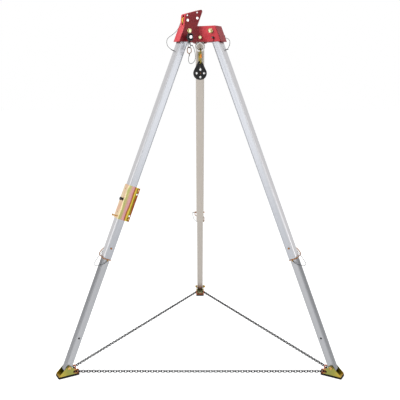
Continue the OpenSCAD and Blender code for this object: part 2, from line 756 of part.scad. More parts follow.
// Head lock pin with its moulded D grip
module head_pin(i) at_arm(i) translate([head_pin_r, 0, head_pin_z]) {
  color("silver") y_rod(head_pin_d, -arm_half - pin_tip, grip_y1 - button_deep);
  color("black") difference() {
    union() {
      y_rod(boss_d, grip_y0, grip_web);
      y_plate(grip_web, grip_y1 - grip_web) grip_outline(grip_w, grip_h);
      translate([0, ring_y - ear_t / 2, -grip_h / 2]) y_plate(0, ear_t) {
        translate([0, -ear_drop]) circle(ear_r);
        translate([-ear_r, -ear_drop]) square([2 * ear_r, ear_drop + 1]);
      }
    }
    translate([0, 0, -grip_h / 2 - ear_drop]) y_rod(ear_hole_d, ring_y - ear_t, ring_y + ear_t);
    y_plate(grip_web + grip_web_t, grip_y1 - grip_web) difference() {
      grip_outline(grip_w - 2 * grip_rim, grip_h - 2 * grip_rim);
      circle(d = boss_d);
    }
    y_rod(button_d + 0.4, grip_y1 - button_deep, grip_y1 + 1);
    y_rod(head_pin_d, 0, grip_y1 - button_deep);
  }
}
module grip_outline(w, h) round_box([-w / 2, -h / 2], [w / 2, h / 2], w / 4);
module head_pin_left() head_pin(LEFT);
module head_pin_right() head_pin(RIGHT);
module head_pin_back() head_pin(BACK);

// Release button of each head pin
module pin_button(i) color("silver") at_arm(i) translate([head_pin_r, 0, head_pin_z])
  y_rod(button_d, grip_y1 - button_deep + button_play, grip_y1 + button_out);
module pin_button_left() pin_button(LEFT);
module pin_button_right() pin_button(RIGHT);
module pin_button_back() pin_button(BACK);

// Shackle link and key ring that hang from the grip of the left head pin
module oval_ring(w, h, d) {
  for (s = [0, 1]) mirror([0, 0, s]) translate([0, 0, (h - w) / 2]) rotate([90, 0, 0])
    rotate_extrude(angle = 180) translate([(w - d) / 2, 0]) circle(d = d, $fn = 24);
  for (s = [-1, 1]) translate([s * (w - d) / 2, 0, -(h - w) / 2]) cylinder(d = d, h = h - w, $fn = 24);
}
module pin_ring() at_arm(LEFT) translate([head_pin_r, ring_y, 0]) {
  color("black") translate([0, 0, shackle_z]) rotate([0, 0, 90])
    oval_ring(shackle_w, shackle_h, ring_wire);
  color("peru") translate([0, 0, key_ring_z]) oval_ring(key_ring_w, key_ring_h, ring_wire);
}

// Winch bracket round the left leg
module winch_bracket() color("goldenrod") on_leg(LEFT) difference() {
  translate([0, 0, -bracket_t - bracket_len]) linear_extrude(bracket_len) {
    h = outer_w / 2;
    w = bracket_wall;
    translate([h + 0.2, -h - w]) square([w, 2 * h + 2 * w]);
    for (s = [0, 1]) mirror([0, s]) {
      translate([-h + 2, h + 0.2]) square([2 * h, w - 0.2]);
      polygon([[-h + 2 + tiny, h + 0.2], [-h + 2 + tiny, h + w], [-h - 2, h + w],
        [-h - 8, flange_half + w], [-h - 8, flange_half], [-h - 4, flange_half], [-h - 2, h + 0.2]]);
      translate([flange_x, flange_half]) square([flange_reach - 8 + tiny, w]);
    }
  }
  for (t = bracket_bolt_t) translate([bracket_bolt_x, 0, -bracket_t - t])
    y_rod(clamp_bolt_d + 2 * bolt_gap, -outer_w, outer_w);
  for (t = winch_holes) translate([bracket_bolt_x - 2, 0, -bracket_t - t])
    y_rod(winch_hole_d, -outer_w, outer_w);
  translate([0, 0, -plunger_t]) rotate([0, 90, 0]) cylinder(d = plunger_d + 2 * run_gap, h = outer_w);
  for (t = web_holes) translate([0, 0, -bracket_t - t]) rotate([0, 90, 0])
    cylinder(d = web_hole_d, h = outer_w);
}

// Clamp bolts of the winch bracket and the hook pin at its foot
module bracket_bolts() color("goldenrod") on_leg(LEFT) {
  for (t = bracket_bolt_t) translate([bracket_bolt_x, 0, -bracket_t - t]) {
    half = flange_half + bracket_wall;
    y_rod(clamp_bolt_d, -half - clamp_nut[1] - clamp_thread, half);
    y_hex(clamp_head[0], half, half + clamp_head[1]);
    y_hex(clamp_nut[0], -half - clamp_nut[1], -half);
  }
  translate([outer_w / 2 + bracket_wall + 0.2, 0, -bracket_t - hook_t]) rotate([0, 90, 0]) {
    cylinder(d = hook_d, h = hook_len);
    translate([0, 0, hook_len]) cylinder(d = hook_head[0], h = hook_head[1]);
  }
}

// Spring plunger on the bracket's web
module bracket_plunger() color("black") on_leg(LEFT) translate([outer_w / 2, 0, -plunger_t])
  rotate([0, 90, 0]) {
  translate([0, 0, -outer_wall + 0.5]) cylinder(d = plunger_d, h = outer_wall + 8);
  translate([0, 0, bracket_wall + 0.5]) cylinder(d = 16, h = 6);
  translate([0, 0, bracket_wall + 6]) cylinder(d = 22, h = 12);
}

// Carabiner body: an oval bar, open on the side towards the viewer where the gate sits
module carabiner_end(up) translate([0, 0, carabiner_mid + up * carabiner_straight])
  mirror([0, 0, up < 0 ? 1 : 0]) rotate([90, 0, 90]) rotate_extrude(angle = 180)
  translate([carabiner_end_r, 0]) circle(d = carabiner_bar);
module carabiner() color("goldenrod") at_gear() {
  carabiner_end(1);
  carabiner_end(-1);
  translate([0, carabiner_end_r, carabiner_mid - carabiner_straight])
    cylinder(d = carabiner_bar, h = 2 * carabiner_straight);
  translate([0, -carabiner_end_r, carabiner_mid + carabiner_straight - nose_len])
    cylinder(d = carabiner_bar, h = nose_len);
  for (s = [0, 1]) mirror([s, 0, 0])
    translate([ear_gap, -carabiner_end_r - ear_w / 2, carabiner_mid - carabiner_straight - tiny])
    difference() {
      cube([gate_ear_t, ear_w, gate_ear_h]);
      translate([-1, ear_w / 2, gate_low + gate_pin_z - carabiner_mid + carabiner_straight])
        rotate([0, 90, 0]) cylinder(d = gate_pin_d + 2 * bolt_gap, h = gate_ear_t + 2);
    }
}

// Gate of the carabiner: a barrel on a pin between the two ears
module carabiner_gate() color("goldenrod") at_gear() translate([0, -carabiner_end_r, gate_low]) {
  translate([0, 0, tongue_h]) cylinder(r = gate_r, h = gate_len - tongue_h);
  translate([-ear_gap + rest_gap, -tongue_w / 2, 0.6])
    cube([2 * (ear_gap - rest_gap), tongue_w, tongue_h]);
  translate([-gate_pin_len / 2, 0, gate_pin_z]) rotate([0, 90, 0])
    cylinder(d = gate_pin_d, h = gate_pin_len);
}

// Screw sleeve on the gate, drawn back from the nose
module carabiner_sleeve() color("orange") at_gear()
  translate([0, -carabiner_end_r, gate_low + tongue_h + 1]) difference() {
    cylinder(d = screw_d, h = screw_len);
    translate([0, 0, -1]) cylinder(r = gate_r + run_gap, h = screw_len + 2);
  }

// Outline of one block cheek about its axle, narrow at the top
module block_outline() {
  circle(block_w / 2);
  a = asin((block_w / 2 - block_top_r) / block_drop);
  side = [cos(a), sin(a)];
  polygon([block_w / 2 * side, [0, block_drop] + block_top_r * side,
    [-block_top_r * side.x, block_drop + block_top_r * side.y], block_w / 2 * [-side.x, side.y], [0, -1]]);
  translate([0, block_drop]) circle(block_top_r);
}
module block_cheek(y0) color([0.12, 0.12, 0.12]) at_gear() translate([0, 0, block_axle_z]) difference() {
  y_plate(y0, block_cheek_t) difference() {
    block_outline();
    translate([0, block_drop]) circle(block_hole_r);
    circle(d = block_axle_d + 2 * bolt_gap);
    translate([0, window_low]) circle(window_r);
    translate([0, window_top]) circle(d = window_w);
    translate([-window_w / 2, window_low]) square([window_w, window_top - window_low]);
    for (a = window_az) rotate(a) translate([window_at, 0]) circle(window_r);
  }
}
module block_cheek_front() block_cheek(-block_gap / 2 - block_cheek_t);
module block_cheek_rear() block_cheek(block_gap / 2);

// Axle of the block with its heads, and the spacer that joins the cheeks near the top
module block_axle() color("silver") at_gear() {
  half = block_gap / 2 + block_cheek_t;
  translate([0, 0, block_axle_z]) {
    y_rod(block_axle_d, -half, half);
    for (s = [0, 1]) mirror([0, s, 0]) y_rod(block_head[0], half, half + block_head[1]);
  }
  for (s = [-1, 1]) translate([s * block_spacer.x, 0, block_hole_z + block_spacer.y])
    y_rod(block_spacer_d, -block_gap / 2, block_gap / 2);
}
module block_sheave() color("dimgray") at_gear() translate([0, 0, block_axle_z])
  rope_sheave(block_sheave_r, block_gap - 2, block_axle_d + 2 * run_gap, block_groove_r);

// One chain link along X, turned by roll about its length
module link(roll) rotate([roll, 0, 0]) {
  r = (link_w - chain_d) / 2;
  half = (link_in + chain_d) / 2 - r;
  for (s = [0, 1]) mirror([s, 0, 0]) translate([half, 0, 0]) rotate([0, 0, -90])
    rotate_extrude(angle = 180) translate([r, 0]) circle(d = chain_d, $fn = 16);
  for (s = [-1, 1]) translate([-half, s * r, 0]) rotate([0, 90, 0])
    cylinder(d = chain_d, h = 2 * half, $fn = 16);
}

// Half of the chain to each side of one foot, and its turn inside the foot
module chain(i) color("gray") at_arm(i) translate([chain_turn_centre, 0, chain_h]) {
  for (side = [-1, 1]) scale_y(side) rotate([0, 0, 60])
    for (k = [0 : half_links - (side < 0 ? 1 : 0)])
      translate([chain_turn_r, (k + 0.5) * straight_pitch, 0]) rotate([0, 0, 90])
        link(k % 2 == 0 ? 45 : -45);
  for (k = [0 : turn_links - 1]) rotate([0, 0, -60 + 120 * (k + 0.5) / turn_links])
    translate([chain_turn_r, 0, 0]) rotate([0, 0, 90]) link(k % 2 == 0 ? -45 : 45);
}
module chain_left() chain(LEFT);
module chain_right() chain(RIGHT);
module chain_back() chain(BACK);

// Round wire or cord swept through points
function unit(v) = v / norm(v);
function ring(p, r, t, u, n) = let (w = cross(t, u))
  [for (k = [0 : n - 1]) p + r * (cos(360 * k / n) * u + sin(360 * k / n) * w)];
function way(p, k) = unit(p[min(k + 1, len(p) - 1)] - p[max(k - 1, 0)]);
function across(t) = unit(cross(t, abs(t.z) > 0.9 ? [1, 0, 0] : [0, 0, 1]));
function frames(p, k, u) = let (t = way(p, k), n = unit(u - t * (u * t)))
  k == len(p) - 1 ? [n] : concat([n], frames(p, k + 1, n));
module sweep(d, p, n) {
  last = len(p) - 1;
  u = frames(p, 0, across(way(p, 0)));
  rings = [for (k = [0 : last]) each ring(p[k], d / 2, way(p, k), u[k], n)];
  walls = [for (k = [0 : last - 1], j = [0 : n - 1], h = [0, 1])
    let (a = n * k + j, b = n * k + (j + 1) % n) h == 0 ? [a, b + n, b] : [a, a + n, b + n]];
  ends = [[for (j = [0 : n - 1]) j], [for (j = [n - 1 : -1 : 0]) n * last + j]];
  polyhedron(rings, concat(walls, ends), convexity = 4);
}

// Curve that runs smoothly through hand-set points, with n steps between each pair
function curve_at(a, b, c, d, t) = 0.5 * (2 * b + (c - a) * t + (2 * a - 5 * b + 4 * c - d) * t * t
  + (3 * b - a - 3 * c + d) * t * t * t);
function smooth(p, n) = let (last = len(p) - 1) concat(
  [for (k = [0 : last - 1], j = [0 : n - 1])
    curve_at(p[max(k - 1, 0)], p[k], p[k + 1], p[min(k + 2, last)], j / n)], [p[last]]);

// Lanyard routes. Head lanyards in the frame of their arm, lock lanyards in that of their leg.
left_head_route = [[192.6, -18, 2118], [200, -19, 2121], [214, -22, 2129], [230, -25, 2144],
  [238, -26, 2165], [234, -28, 2188], [216, -36, 2204], [190, -48, 2218], [160, -54, 2238],
  [138, -54, 2262], [126, -51, 2290], [119, -43, 2305], [117.5, -30.5, 2308]];
right_head_route = [[190.1, 17, 2124], [198, 19, 2127], [206, 24, 2140], [209, 32, 2158],
  [202, 46, 2180], [182, 62, 2196], [160, 69, 2202], [145.6, 70, 2203]];
pin_route = [[124.7, 75, 2095.7], [125, 74.5, 2086], [129, 72, 2066], [128, 74, 2044], [116, 78, 2032],
  [100, 84, 2040], [90, 92, 2060], [92, 97, 2088], [100, 102, 2114], [110, 105, 2136],
  [120, 103, 2147], [124.7, 94.4, 2149]];
lock_route = [[-6, -27.8, -1600.3], [-5, -28.2, -1608], [4, -31, -1624], [24, -32, -1642],
  [46, -14, -1658], [54, 8, -1666], [52, 30, -1660], [40, 46, -1636], [24, 56, -1600], [10, 60, -1562],
  [3, 60, -1536], [0, 54, -1526.5], [0, 46.4, -1525]];

module head_lanyard(i, route) color("silver") at_arm(i) sweep(lanyard_d, route, 8);
module lock_lanyard(i) color("silver") on_leg(i) scale_y(lock_side[i]) sweep(lanyard_d, lock_route, 8);
module lanyards_left() {
  head_lanyard(LEFT, left_head_route);
  lock_lanyard(LEFT);
}
module lanyards_right() {
  head_lanyard(RIGHT, right_head_route);
  lock_lanyard(RIGHT);
}
module lanyard_back() lock_lanyard(BACK);
module lanyard_pin() head_lanyard(LEFT, pin_route);

head_plate_front();
head_plate_right();
head_plate_left();
head_bands();
hub();
hub_bolts();
eye_bolt();
pivot_bolts();
tower();
tower_bolts();
sheave_outer();
sheave_inner();
outer_tube_left();
outer_tube_right();
outer_tube_back();
pivot_sleeve_left();
pivot_sleeve_right();
pivot_sleeve_back();
inner_tube_left();
inner_tube_right();
inner_tube_back();
glide_left();
glide_right();
glide_back();
foot_bracket_left();
foot_bracket_right();
foot_bracket_back();
foot_pad_left();
foot_pad_right();
foot_pad_back();
foot_bolt_left();
foot_bolt_right();
foot_bolt_back();
lock_pin_left();
lock_pin_right();
lock_pin_back();
head_pin_left();
head_pin_right();
head_pin_back();
pin_button_left();
pin_button_right();
pin_button_back();
pin_ring();
winch_bracket();
bracket_bolts();
bracket_plunger();
carabiner();
carabiner_gate();
carabiner_sleeve();
block_cheek_front();
block_cheek_rear();
block_axle();
block_sheave();
chain_left();
chain_right();
chain_back();
lanyards_left();
lanyards_right();
lanyard_back();
lanyard_pin();
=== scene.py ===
# Rescue tripod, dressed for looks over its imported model. The scene is in metres. Shapes are
# worked out in millimetres, in the same local frames as the part's source, and scaled at the end.
import math

import bmesh
import bpy
from mathutils import Matrix, Vector


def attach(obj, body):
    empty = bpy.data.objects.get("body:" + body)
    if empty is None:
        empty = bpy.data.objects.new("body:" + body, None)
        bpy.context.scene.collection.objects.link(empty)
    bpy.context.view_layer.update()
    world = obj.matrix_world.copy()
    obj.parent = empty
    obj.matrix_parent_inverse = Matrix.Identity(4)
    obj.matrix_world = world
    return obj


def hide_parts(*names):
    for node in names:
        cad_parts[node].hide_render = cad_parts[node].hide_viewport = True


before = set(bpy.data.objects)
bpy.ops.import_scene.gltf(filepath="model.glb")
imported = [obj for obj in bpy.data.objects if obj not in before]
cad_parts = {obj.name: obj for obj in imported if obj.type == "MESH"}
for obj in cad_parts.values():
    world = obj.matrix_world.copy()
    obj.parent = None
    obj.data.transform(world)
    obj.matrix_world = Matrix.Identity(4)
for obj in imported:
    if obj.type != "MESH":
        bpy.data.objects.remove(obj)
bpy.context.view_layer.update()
scene = bpy.context.scene
scene.view_settings.view_transform = "Standard"

# Sizes of the tripod in mm; a T is a distance along a leg from its pivot
MM = 0.001
SPLAY = math.radians(22.66)
PIVOT_R = 106.6
LEG_LEN = 2361
FOOT_PIVOT_H = 66.2
FOOT_OUT, FOOT_IN, FOOT_W, PAD_CORNER, PAD_T = 73.3, 69.8, 68.2, 8, 13.5
PIVOT_Z = FOOT_PIVOT_H + LEG_LEN * math.cos(SPLAY)
FOOT_R = PIVOT_R + LEG_LEN * math.sin(SPLAY)
PAD_MID_X = (FOOT_R + FOOT_OUT - PAD_CORNER) / 2
PAD_LOW_Y = PAD_MID_X + (FOOT_W / 2 - PAD_CORNER) * math.cos(math.pi / 6) + PAD_CORNER
FRAME_Y = (PAD_LOW_Y - FOOT_R - FOOT_OUT) / 2
PLATE_LOW, PLATE_H, PLATE_T, ARM_HALF, ARM_REACH = PIVOT_Z - 70, 102, 5, 43, 182
PLATE_TOP = PLATE_LOW + PLATE_H
ARM_IN = ARM_HALF - PLATE_T
FOLD_HALF = 11
FOLD_Y = (ARM_HALF + FOLD_HALF / 2) / math.cos(math.pi / 6)
FOLD_BACK = 2 * ((FOLD_Y - PLATE_T) * math.cos(math.pi / 6) - ARM_IN)
HUB_LOW, HUB_H = PLATE_LOW + 8, 42
PIN_T, LOCK_T = 47, 1525
PIN_R = PIVOT_R + PIN_T * math.sin(SPLAY)
PIN_Z = PIVOT_Z - PIN_T * math.cos(SPLAY)
EYE_Z = PLATE_LOW - 29

LEFT, RIGHT = 0, 1
SIDES = ["left", "right", "back"]


def shift(x, y, z):
    return Matrix.Translation((x, y, z))


def turn(angle, axis):
    return Matrix.Rotation(math.radians(angle), 4, axis)


CENTRE = shift(0, FRAME_Y, 0)
ARM = [CENTRE @ turn(a, "Z") for a in (210, 330, 90)]
LEG = [arm @ shift(PIVOT_R, 0, PIVOT_Z) @ Matrix.Rotation(-SPLAY, 4, "Y") for arm in ARM]
FOOT = [arm @ shift(FOOT_R, 0, FOOT_PIVOT_H) for arm in ARM]
HEAD_PIN = [arm @ shift(PIN_R, 0, PIN_Z) for arm in ARM]
GEAR = CENTRE @ turn(13, "Z")
TOWER = ARM[LEFT] @ shift(0, 0, PLATE_TOP)
# Turned shapes are drawn up their Z axis; these lay that axis along Y or X
ALONG_Y = turn(-90, "X")
ALONG_X = turn(90, "Y")
# Side of each leg that the head of its telescope lock pin lies on
LOCK_SIDE = [-1, 1, 1]

# Camera, 4.4 m in front of the tripod's middle and looking 11.8 degrees down
camera = bpy.data.objects.new("camera", bpy.data.cameras.new("camera"))
camera.data.lens = 53.43
camera.location = (0, -4.4035, 1.9528)
camera.rotation_euler = (math.radians(90 - 11.80), 0, 0)
scene.collection.objects.link(camera)
scene.camera = camera

# Node and finish helpers
# The stretch of noise, between 0 and 1, that the spots' colours and the grain's gloss run over
SPOTS_LOW, SPOTS_HIGH = 0.36, 0.64
GRAIN_LOW, GRAIN_HIGH = 0.3, 0.7


def add(tree, kind, inputs=None, **settings):
    """Adds one node. settings are its properties; inputs holds values or sockets to link from."""
    node = tree.nodes.new(kind)
    for name, value in settings.items():
        setattr(node, name, value)
    for name, value in (inputs or {}).items():
        if isinstance(value, bpy.types.NodeSocket):
            tree.links.new(value, node.inputs[name])
        else:
            node.inputs[name].default_value = value
    return node


def worked(tree, operation, *values):
    """The result of one sum on values or sockets."""
    return add(tree, "ShaderNodeMath", dict(enumerate(values)), operation=operation).outputs["Value"]


def linear(hex_colour):
    """sRGB hex to the linear colour that a shader takes."""
    parts = [int(hex_colour[k : k + 2], 16) / 255 for k in (1, 3, 5)]
    return [c / 12.92 if c <= 0.04045 else ((c + 0.055) / 1.055) ** 2.4 for c in parts] + [1.0]


def finish(name, hexes, size, roughness, metallic=0.0, grit=1.0, relief=0.0, lies=None,
           stretch=(1, 1, 1), shine=0.5, across=None):
    """A material. hexes wander over spots of `size` mm; gloss and relief follow grain of `grit` mm.
    lies is the local frame that stretch, the grain's squeeze along each axis, belongs to. With
    across=(axis, start, end, stray), hexes run along that axis in mm and stray from it by the spots."""
    mat = bpy.data.materials.new(name)
    mat.use_nodes = True
    tree = mat.node_tree
    shader = tree.nodes["Principled BSDF"]
    shader.inputs["Metallic"].default_value = metallic
    shader.inputs["Specular IOR Level"].default_value = shine
    place = add(tree, "ShaderNodeTexCoord").outputs["Object"]
    if lies is not None:
        where = {"Vector": place, "Location": lies.translation * MM, "Rotation": lies.to_euler()}
        place = add(tree, "ShaderNodeMapping", where, vector_type="TEXTURE").outputs["Vector"]
    squeezed = add(tree, "ShaderNodeMapping", {"Vector": place, "Scale": stretch}).outputs["Vector"]
    spots = add(tree, "ShaderNodeTexNoise", {"Vector": squeezed, "Scale": 1000 / size, "Detail": 4.0})
    grain = add(tree, "ShaderNodeTexNoise", {"Vector": squeezed, "Scale": 1000 / grit, "Detail": 3.0})
    toned, first, last = spots.outputs["Fac"], SPOTS_LOW, SPOTS_HIGH
    if across is not None:
        axis, start, end, stray = across
        run = add(tree, "ShaderNodeSeparateXYZ", {0: place}).outputs[axis]
        reach = {"Value": run, "From Min": start * MM, "From Max": end * MM}
        along = add(tree, "ShaderNodeMapRange", reach, clamp=False).outputs["Result"]
        share = stray / abs(end - start)
        drift = worked(tree, "MULTIPLY_ADD", spots.outputs["Fac"], 2 * share, -share)
        toned, first, last = worked(tree, "ADD", along, drift), 0, 1
    ramp = add(tree, "ShaderNodeValToRGB", {"Fac": toned})
    stops = ramp.color_ramp.elements
    stops[0].position = first
    stops[1].position = last
    stops[0].color = linear(hexes[0])
    stops[1].color = linear(hexes[-1])
    for k, hex_colour in enumerate(hexes[1:-1], 1):
        stop = stops.new(first + (last - first) * k / (len(hexes) - 1))
        stop.color = linear(hex_colour)
    tree.links.new(ramp.outputs["Color"], shader.inputs["Base Color"])
    spread = {
        "Value": grain.outputs["Fac"], "From Min": GRAIN_LOW, "From Max": GRAIN_HIGH,
        "To Min": roughness[0], "To Max": roughness[1],
    }
    tree.links.new(add(tree, "ShaderNodeMapRange", spread).outputs["Result"], shader.inputs["Roughness"])
    if relief:
        bump = add(tree, "ShaderNodeBump", {"Height": grain.outputs["Fac"], "Distance": relief * MM})
        tree.links.new(bump.outputs["Normal"], shader.inputs["Normal"])
    return mat


# Extruded aluminium, satin anodised: pale, with faint die lines down its length, which are drawn
# 4 to 5 mm apart, where the real ones are under 1 mm, so that they show. The tones run from the
# face towards the middle of the tripod to the outward one, where the upper tubes turn paler with
# painted sheen and the lower ones darker with painted shade. The back leg's tones are painted shade,
# darker and warmer than those of the other two legs.
UPPER_FRONT_PAINTED_SHEEN = ["#A5A7AC", "#A9ABB0", "#A4A6AB", "#A8AAAF", "#A5A7AC", "#AAACB1", "#A6A8AD", "#A9ABB0",
              "#A7A9AD", "#BDBDC0", "#C9C8CA"]
UPPER_BACK_PAINTED_SHADE_AND_SHEEN = ["#B0A9A1", "#B3ACA4", "#AEA79F", "#B2ABA3", "#AFA8A0", "#B3ACA4", "#B0A9A1", "#B2ABA3",
              "#B1AAA2", "#BCB6AF", "#C4BEB8"]
LOWER_FRONT_PAINTED_SHADE = ["#A2A3A6", "#A5A6A9", "#A1A2A5", "#A4A5A8", "#A2A3A6", "#A6A7AA", "#A3A4A7", "#A5A6A9",
              "#A1A2A5", "#8C8D90", "#7E7F82"]
LOWER_BACK_PAINTED_SHADE = ["#ABA59E", "#AEA8A1", "#AAA49D", "#ADA7A0", "#ABA59E", "#AFA9A2", "#ACA69F", "#AEA8A1",
              "#ACA69F", "#9A958F", "#8F8B86"]


def tube_finishes(level, cool, back_tones_painted_shade, size, grit, across):
    """The finishes of the left, right and back tube of one level."""
    return [
        finish("satin_anodised_aluminium_%s_%s" % (level, s), tones, size, (0.30, 0.40), metallic=1.0,
               grit=grit, relief=0.02, lies=leg, stretch=(1, 1, 0.004), across=across)
        for s, leg, tones in zip(SIDES, LEG, (cool, cool, back_tones_painted_shade))
    ]


# The outward-face tones are painted sheen on the upper tubes and painted shade on the lower ones; the back
# leg's tones are painted shade
upper_aluminium = tube_finishes("upper", UPPER_FRONT_PAINTED_SHEEN, UPPER_BACK_PAINTED_SHADE_AND_SHEEN, 60, 5, ("X", -30, 30, 8))
lower_aluminium = tube_finishes("lower", LOWER_FRONT_PAINTED_SHADE, LOWER_BACK_PAINTED_SHADE, 50, 4, ("X", -25, 25, 7))
# Powder coat over steel: an even deep red with a soft gloss and a 2 mm orange-peel surface
red_powder_coat = finish("red_powder_coat", ["#AA313A", "#B4373F", "#BC3D45"], 45, (0.30, 0.42),
                         grit=2.2, relief=0.04, shine=0.22)
# Yellow chromate over zinc: brassy, with pink and green sheens that drift over about 10 mm
yellow_zinc = finish("yellow_chromate_zinc", ["#8C5A2C", "#B0843A", "#CBA85C", "#B98A7C"], 12, (0.24, 0.40),
                     metallic=1.0, grit=1.6, relief=0.02)
bolt_zinc = finish("pale_yellow_zinc_bolts", ["#B9A56A", "#DCD7A6", "#D3DCB4", "#E6DDB6"], 9, (0.20, 0.34),
                   metallic=1.0, grit=1.4, relief=0.02)
lock_zinc = finish("brown_chromate_zinc_lock_pins", ["#54301A", "#8A5226", "#AE7A3E", "#8E5A48"], 9,
                   (0.24, 0.40), metallic=1.0, grit=1.4, relief=0.02)
carabiner_zinc = finish("greenish_yellow_zinc", ["#6C6222", "#9C8C36", "#B89E44"], 10, (0.24, 0.36),
                        metallic=1.0, grit=1.4, relief=0.02)
# Pressed sheet carries the same chromate in bands along its bends: brown-red at the flange's edge,
# a painted highlight in yellow on its ridge, painted shade in the fold, then mauve over the cheek,
# olive by the corner, peach beyond
BRACKET_CHROMATE_AND_PAINTED_LIGHT = ["#74301A", "#8A4A22", "#7E7626", "#9A8E30", "#DCCB54", "#C99A3E", "#7C3E20", "#C58A88",
                 "#C49296", "#BE9190", "#B6937E", "#A89A6C", "#9C9E62", "#A6A468", "#E6D6AE", "#E2B496"]
bracket_zinc = finish("yellow_chromate_zinc_bracket_painted_light", BRACKET_CHROMATE_AND_PAINTED_LIGHT, 40, (0.24, 0.38), metallic=1.0,
                      grit=3, relief=0.02, lies=LEG[LEFT], stretch=(1, 1, 0.5), across=("X", -54, 36, 11))
# The feet are olive, and orange towards the end that the chain runs through
FOOT_TONES = ["#B4503A", "#C07A48", "#908C48", "#86884A", "#8E8A44", "#9A9244", "#B29A3E", "#B98A3A"]
foot_zinc = [
    finish("yellow_chromate_zinc_foot_" + s, FOOT_TONES, 36, (0.28, 0.42), metallic=1.0,
           grit=3, relief=0.02, lies=FOOT[i], across=("X", -72, 74, 30))
    for i, s in enumerate(SIDES)
]
# Bright zinc and machined steel: grey-white plate with a light grain
bright_zinc = finish("bright_zinc_plate", ["#D6D7D7", "#E4E4E3"], 8, (0.14, 0.28),
                     metallic=1.0, grit=1.2, relief=0.01)
machined_steel = finish("machined_steel", ["#8A8C8E", "#A2A3A4"], 12, (0.28, 0.42),
                        metallic=1.0, grit=0.8, relief=0.01)
# Blackened steel of the ball pins, rubbed to a dull green-grey
oiled_steel = finish("oiled_steel_pin", ["#3C4442", "#5C6562"], 7, (0.30, 0.44),
                     metallic=1.0, grit=0.8, relief=0.01)
# Zinc on the forged eye, and the hub bolts' washers in dark brown, which is painted shade round the bolt
# heads
forged_zinc = finish("zinc_on_forged_steel", ["#BAB8B4", "#D4D2CE"], 7, (0.22, 0.36),
                     metallic=1.0, grit=1.4, relief=0.02)
painted_shade_washer_zinc = finish("zinc_washers_painted_shade", ["#3E3018", "#6A5630"], 6, (0.36, 0.50),
                     metallic=1.0, grit=1.2, relief=0.02)
# Polished and cast aluminium: the wheel of the block and the hub
polished_aluminium = finish("polished_aluminium_wheel", ["#EEEEEC", "#F6F6F5"], 12, (0.20, 0.32),
                            metallic=1.0, grit=1.0, relief=0.01)
grey_casting = finish("grey_cast_aluminium", ["#6A6C6F", "#7C7E81"], 10, (0.40, 0.55),
                      metallic=1.0, grit=1.5, relief=0.05)
# Galvanised chain and shackle: dark, dull grey with a mottled spangle
galvanised = finish("galvanised_steel_chain", ["#0E0F10", "#1C1D20", "#303236"], 5, (0.42, 0.62),
                    metallic=1.0, grit=1.5, relief=0.03)
# Bronze of the key ring and axle ends, brass of the lock lanyards' ferrules and the bushings
bronze = finish("bronze_ring", ["#5E3C22", "#8A6238"], 6, (0.30, 0.44), metallic=1.0, grit=1.0, relief=0.01)
brass = finish("brass_ferrule", ["#9B7A3C", "#B8944C"], 4, (0.28, 0.40), metallic=1.0, grit=0.8, relief=0.01)
# Wire rope, a near-black line with a touch of teal
wire_rope = finish("dark_wire_rope", ["#0C1011", "#1C2223"], 3, (0.32, 0.48),
                   metallic=1.0, grit=0.8, relief=0.02)
# Moulded nylon and rubber: near black, the nylon with a fine spark texture and a soft sheen
black_nylon = finish("black_moulded_nylon", ["#0E0F10", "#191A1C"], 14, (0.38, 0.52), grit=0.9, relief=0.05)
black_rubber = finish("black_rubber", ["#060606", "#0E0D0D"], 20, (0.66, 0.84),
                      grit=1.4, relief=0.10, shine=0.25)
# Satin black paint of the pulley block
black_paint = finish("black_satin_paint", ["#070708", "#101113"], 18, (0.30, 0.42),
                     grit=1.6, relief=0.03, shine=0.3)
# The bright colours: yellow sheaves and the orange sleeve of the carabiner
yellow_nylon = finish("yellow_cast_nylon", ["#C9A437", "#DAB548"], 12, (0.36, 0.50), grit=1.0, relief=0.03)
orange_anodised = finish("orange_anodised_aluminium", ["#F08A1E", "#FA9E34"], 10, (0.26, 0.38),
                         metallic=0.6, grit=0.8, relief=0.01)


# Shape helpers, all in mm
def turned(bm, profile, place, steps=40, flutes=0.0, above=0.0):
    """Adds a shape turned about the local Z axis. profile is (radius, height) along its outline;
    one that ends where it starts makes a ring with a bore. Rings wider than `above` are fluted."""
    loop = profile[0] == profile[-1]
    rings = []
    for r, z in profile[: -1 if loop else None]:
        count = steps if r > 1e-6 else 1
        angles = [2 * math.pi * k / steps for k in range(count)]
        cut = [r - flutes if k % 3 == 0 and r > above else r for k in range(count)]
        ring = [Vector((c * math.cos(a), c * math.sin(a), z)) for c, a in zip(cut, angles)]
        rings.append([bm.verts.new(place @ p) for p in ring])
    if loop:
        rings.append(rings[0])
    for low, high in zip(rings, rings[1:]):
        for k in range(steps):
            square = [ring[n % len(ring)] for ring, n in ((low, k), (low, k + 1), (high, k + 1), (high, k))]
            corners = list(dict.fromkeys(square))
            if len(corners) > 2:
                bm.faces.new(corners)


def skin(bm, rings, closed=False):
    """Faces from each ring of vertices to the next, with a cap at either end unless it is closed."""
    for low, high in zip(rings, rings[1:] + (rings[:1] if closed else [])):
        for k in range(len(low)):
            n = (k + 1) % len(low)
            bm.faces.new([low[k], low[n], high[n], high[k]])
    if not closed:
        bm.faces.new(rings[0][::-1])
        bm.faces.new(rings[-1])


def rod(bm, d, z0, z1, place, steps=32):
    r, c = d / 2, 0.6
    turned(bm, [(0, z0), (r - c, z0), (r, z0 + c), (r, z1 - c), (r - c, z1), (0, z1)], place, steps)


def washer(bm, d, bore, z0, z1, place):
    r, b, c = d / 2, bore / 2, 0.4
    turned(bm, [(b, z0), (r - c, z0), (r, z0 + c), (r, z1 - c), (r - c, z1), (b, z1), (b, z0)], place)


def threaded(bm, d, z0, z1, pitch, place):
    """A threaded end, drawn as ridges a pitch apart."""
    r, root = d / 2, d / 2 - 0.09 * d
    profile, z = [(0, z0)], z0
    while z < z1 - pitch:
        profile += [(root, z), (r, z + 0.35 * pitch), (r, z + 0.65 * pitch)]
        z += pitch
    turned(bm, profile + [(root, z), (r - 0.12 * d, z1), (0, z1)], place, 32)


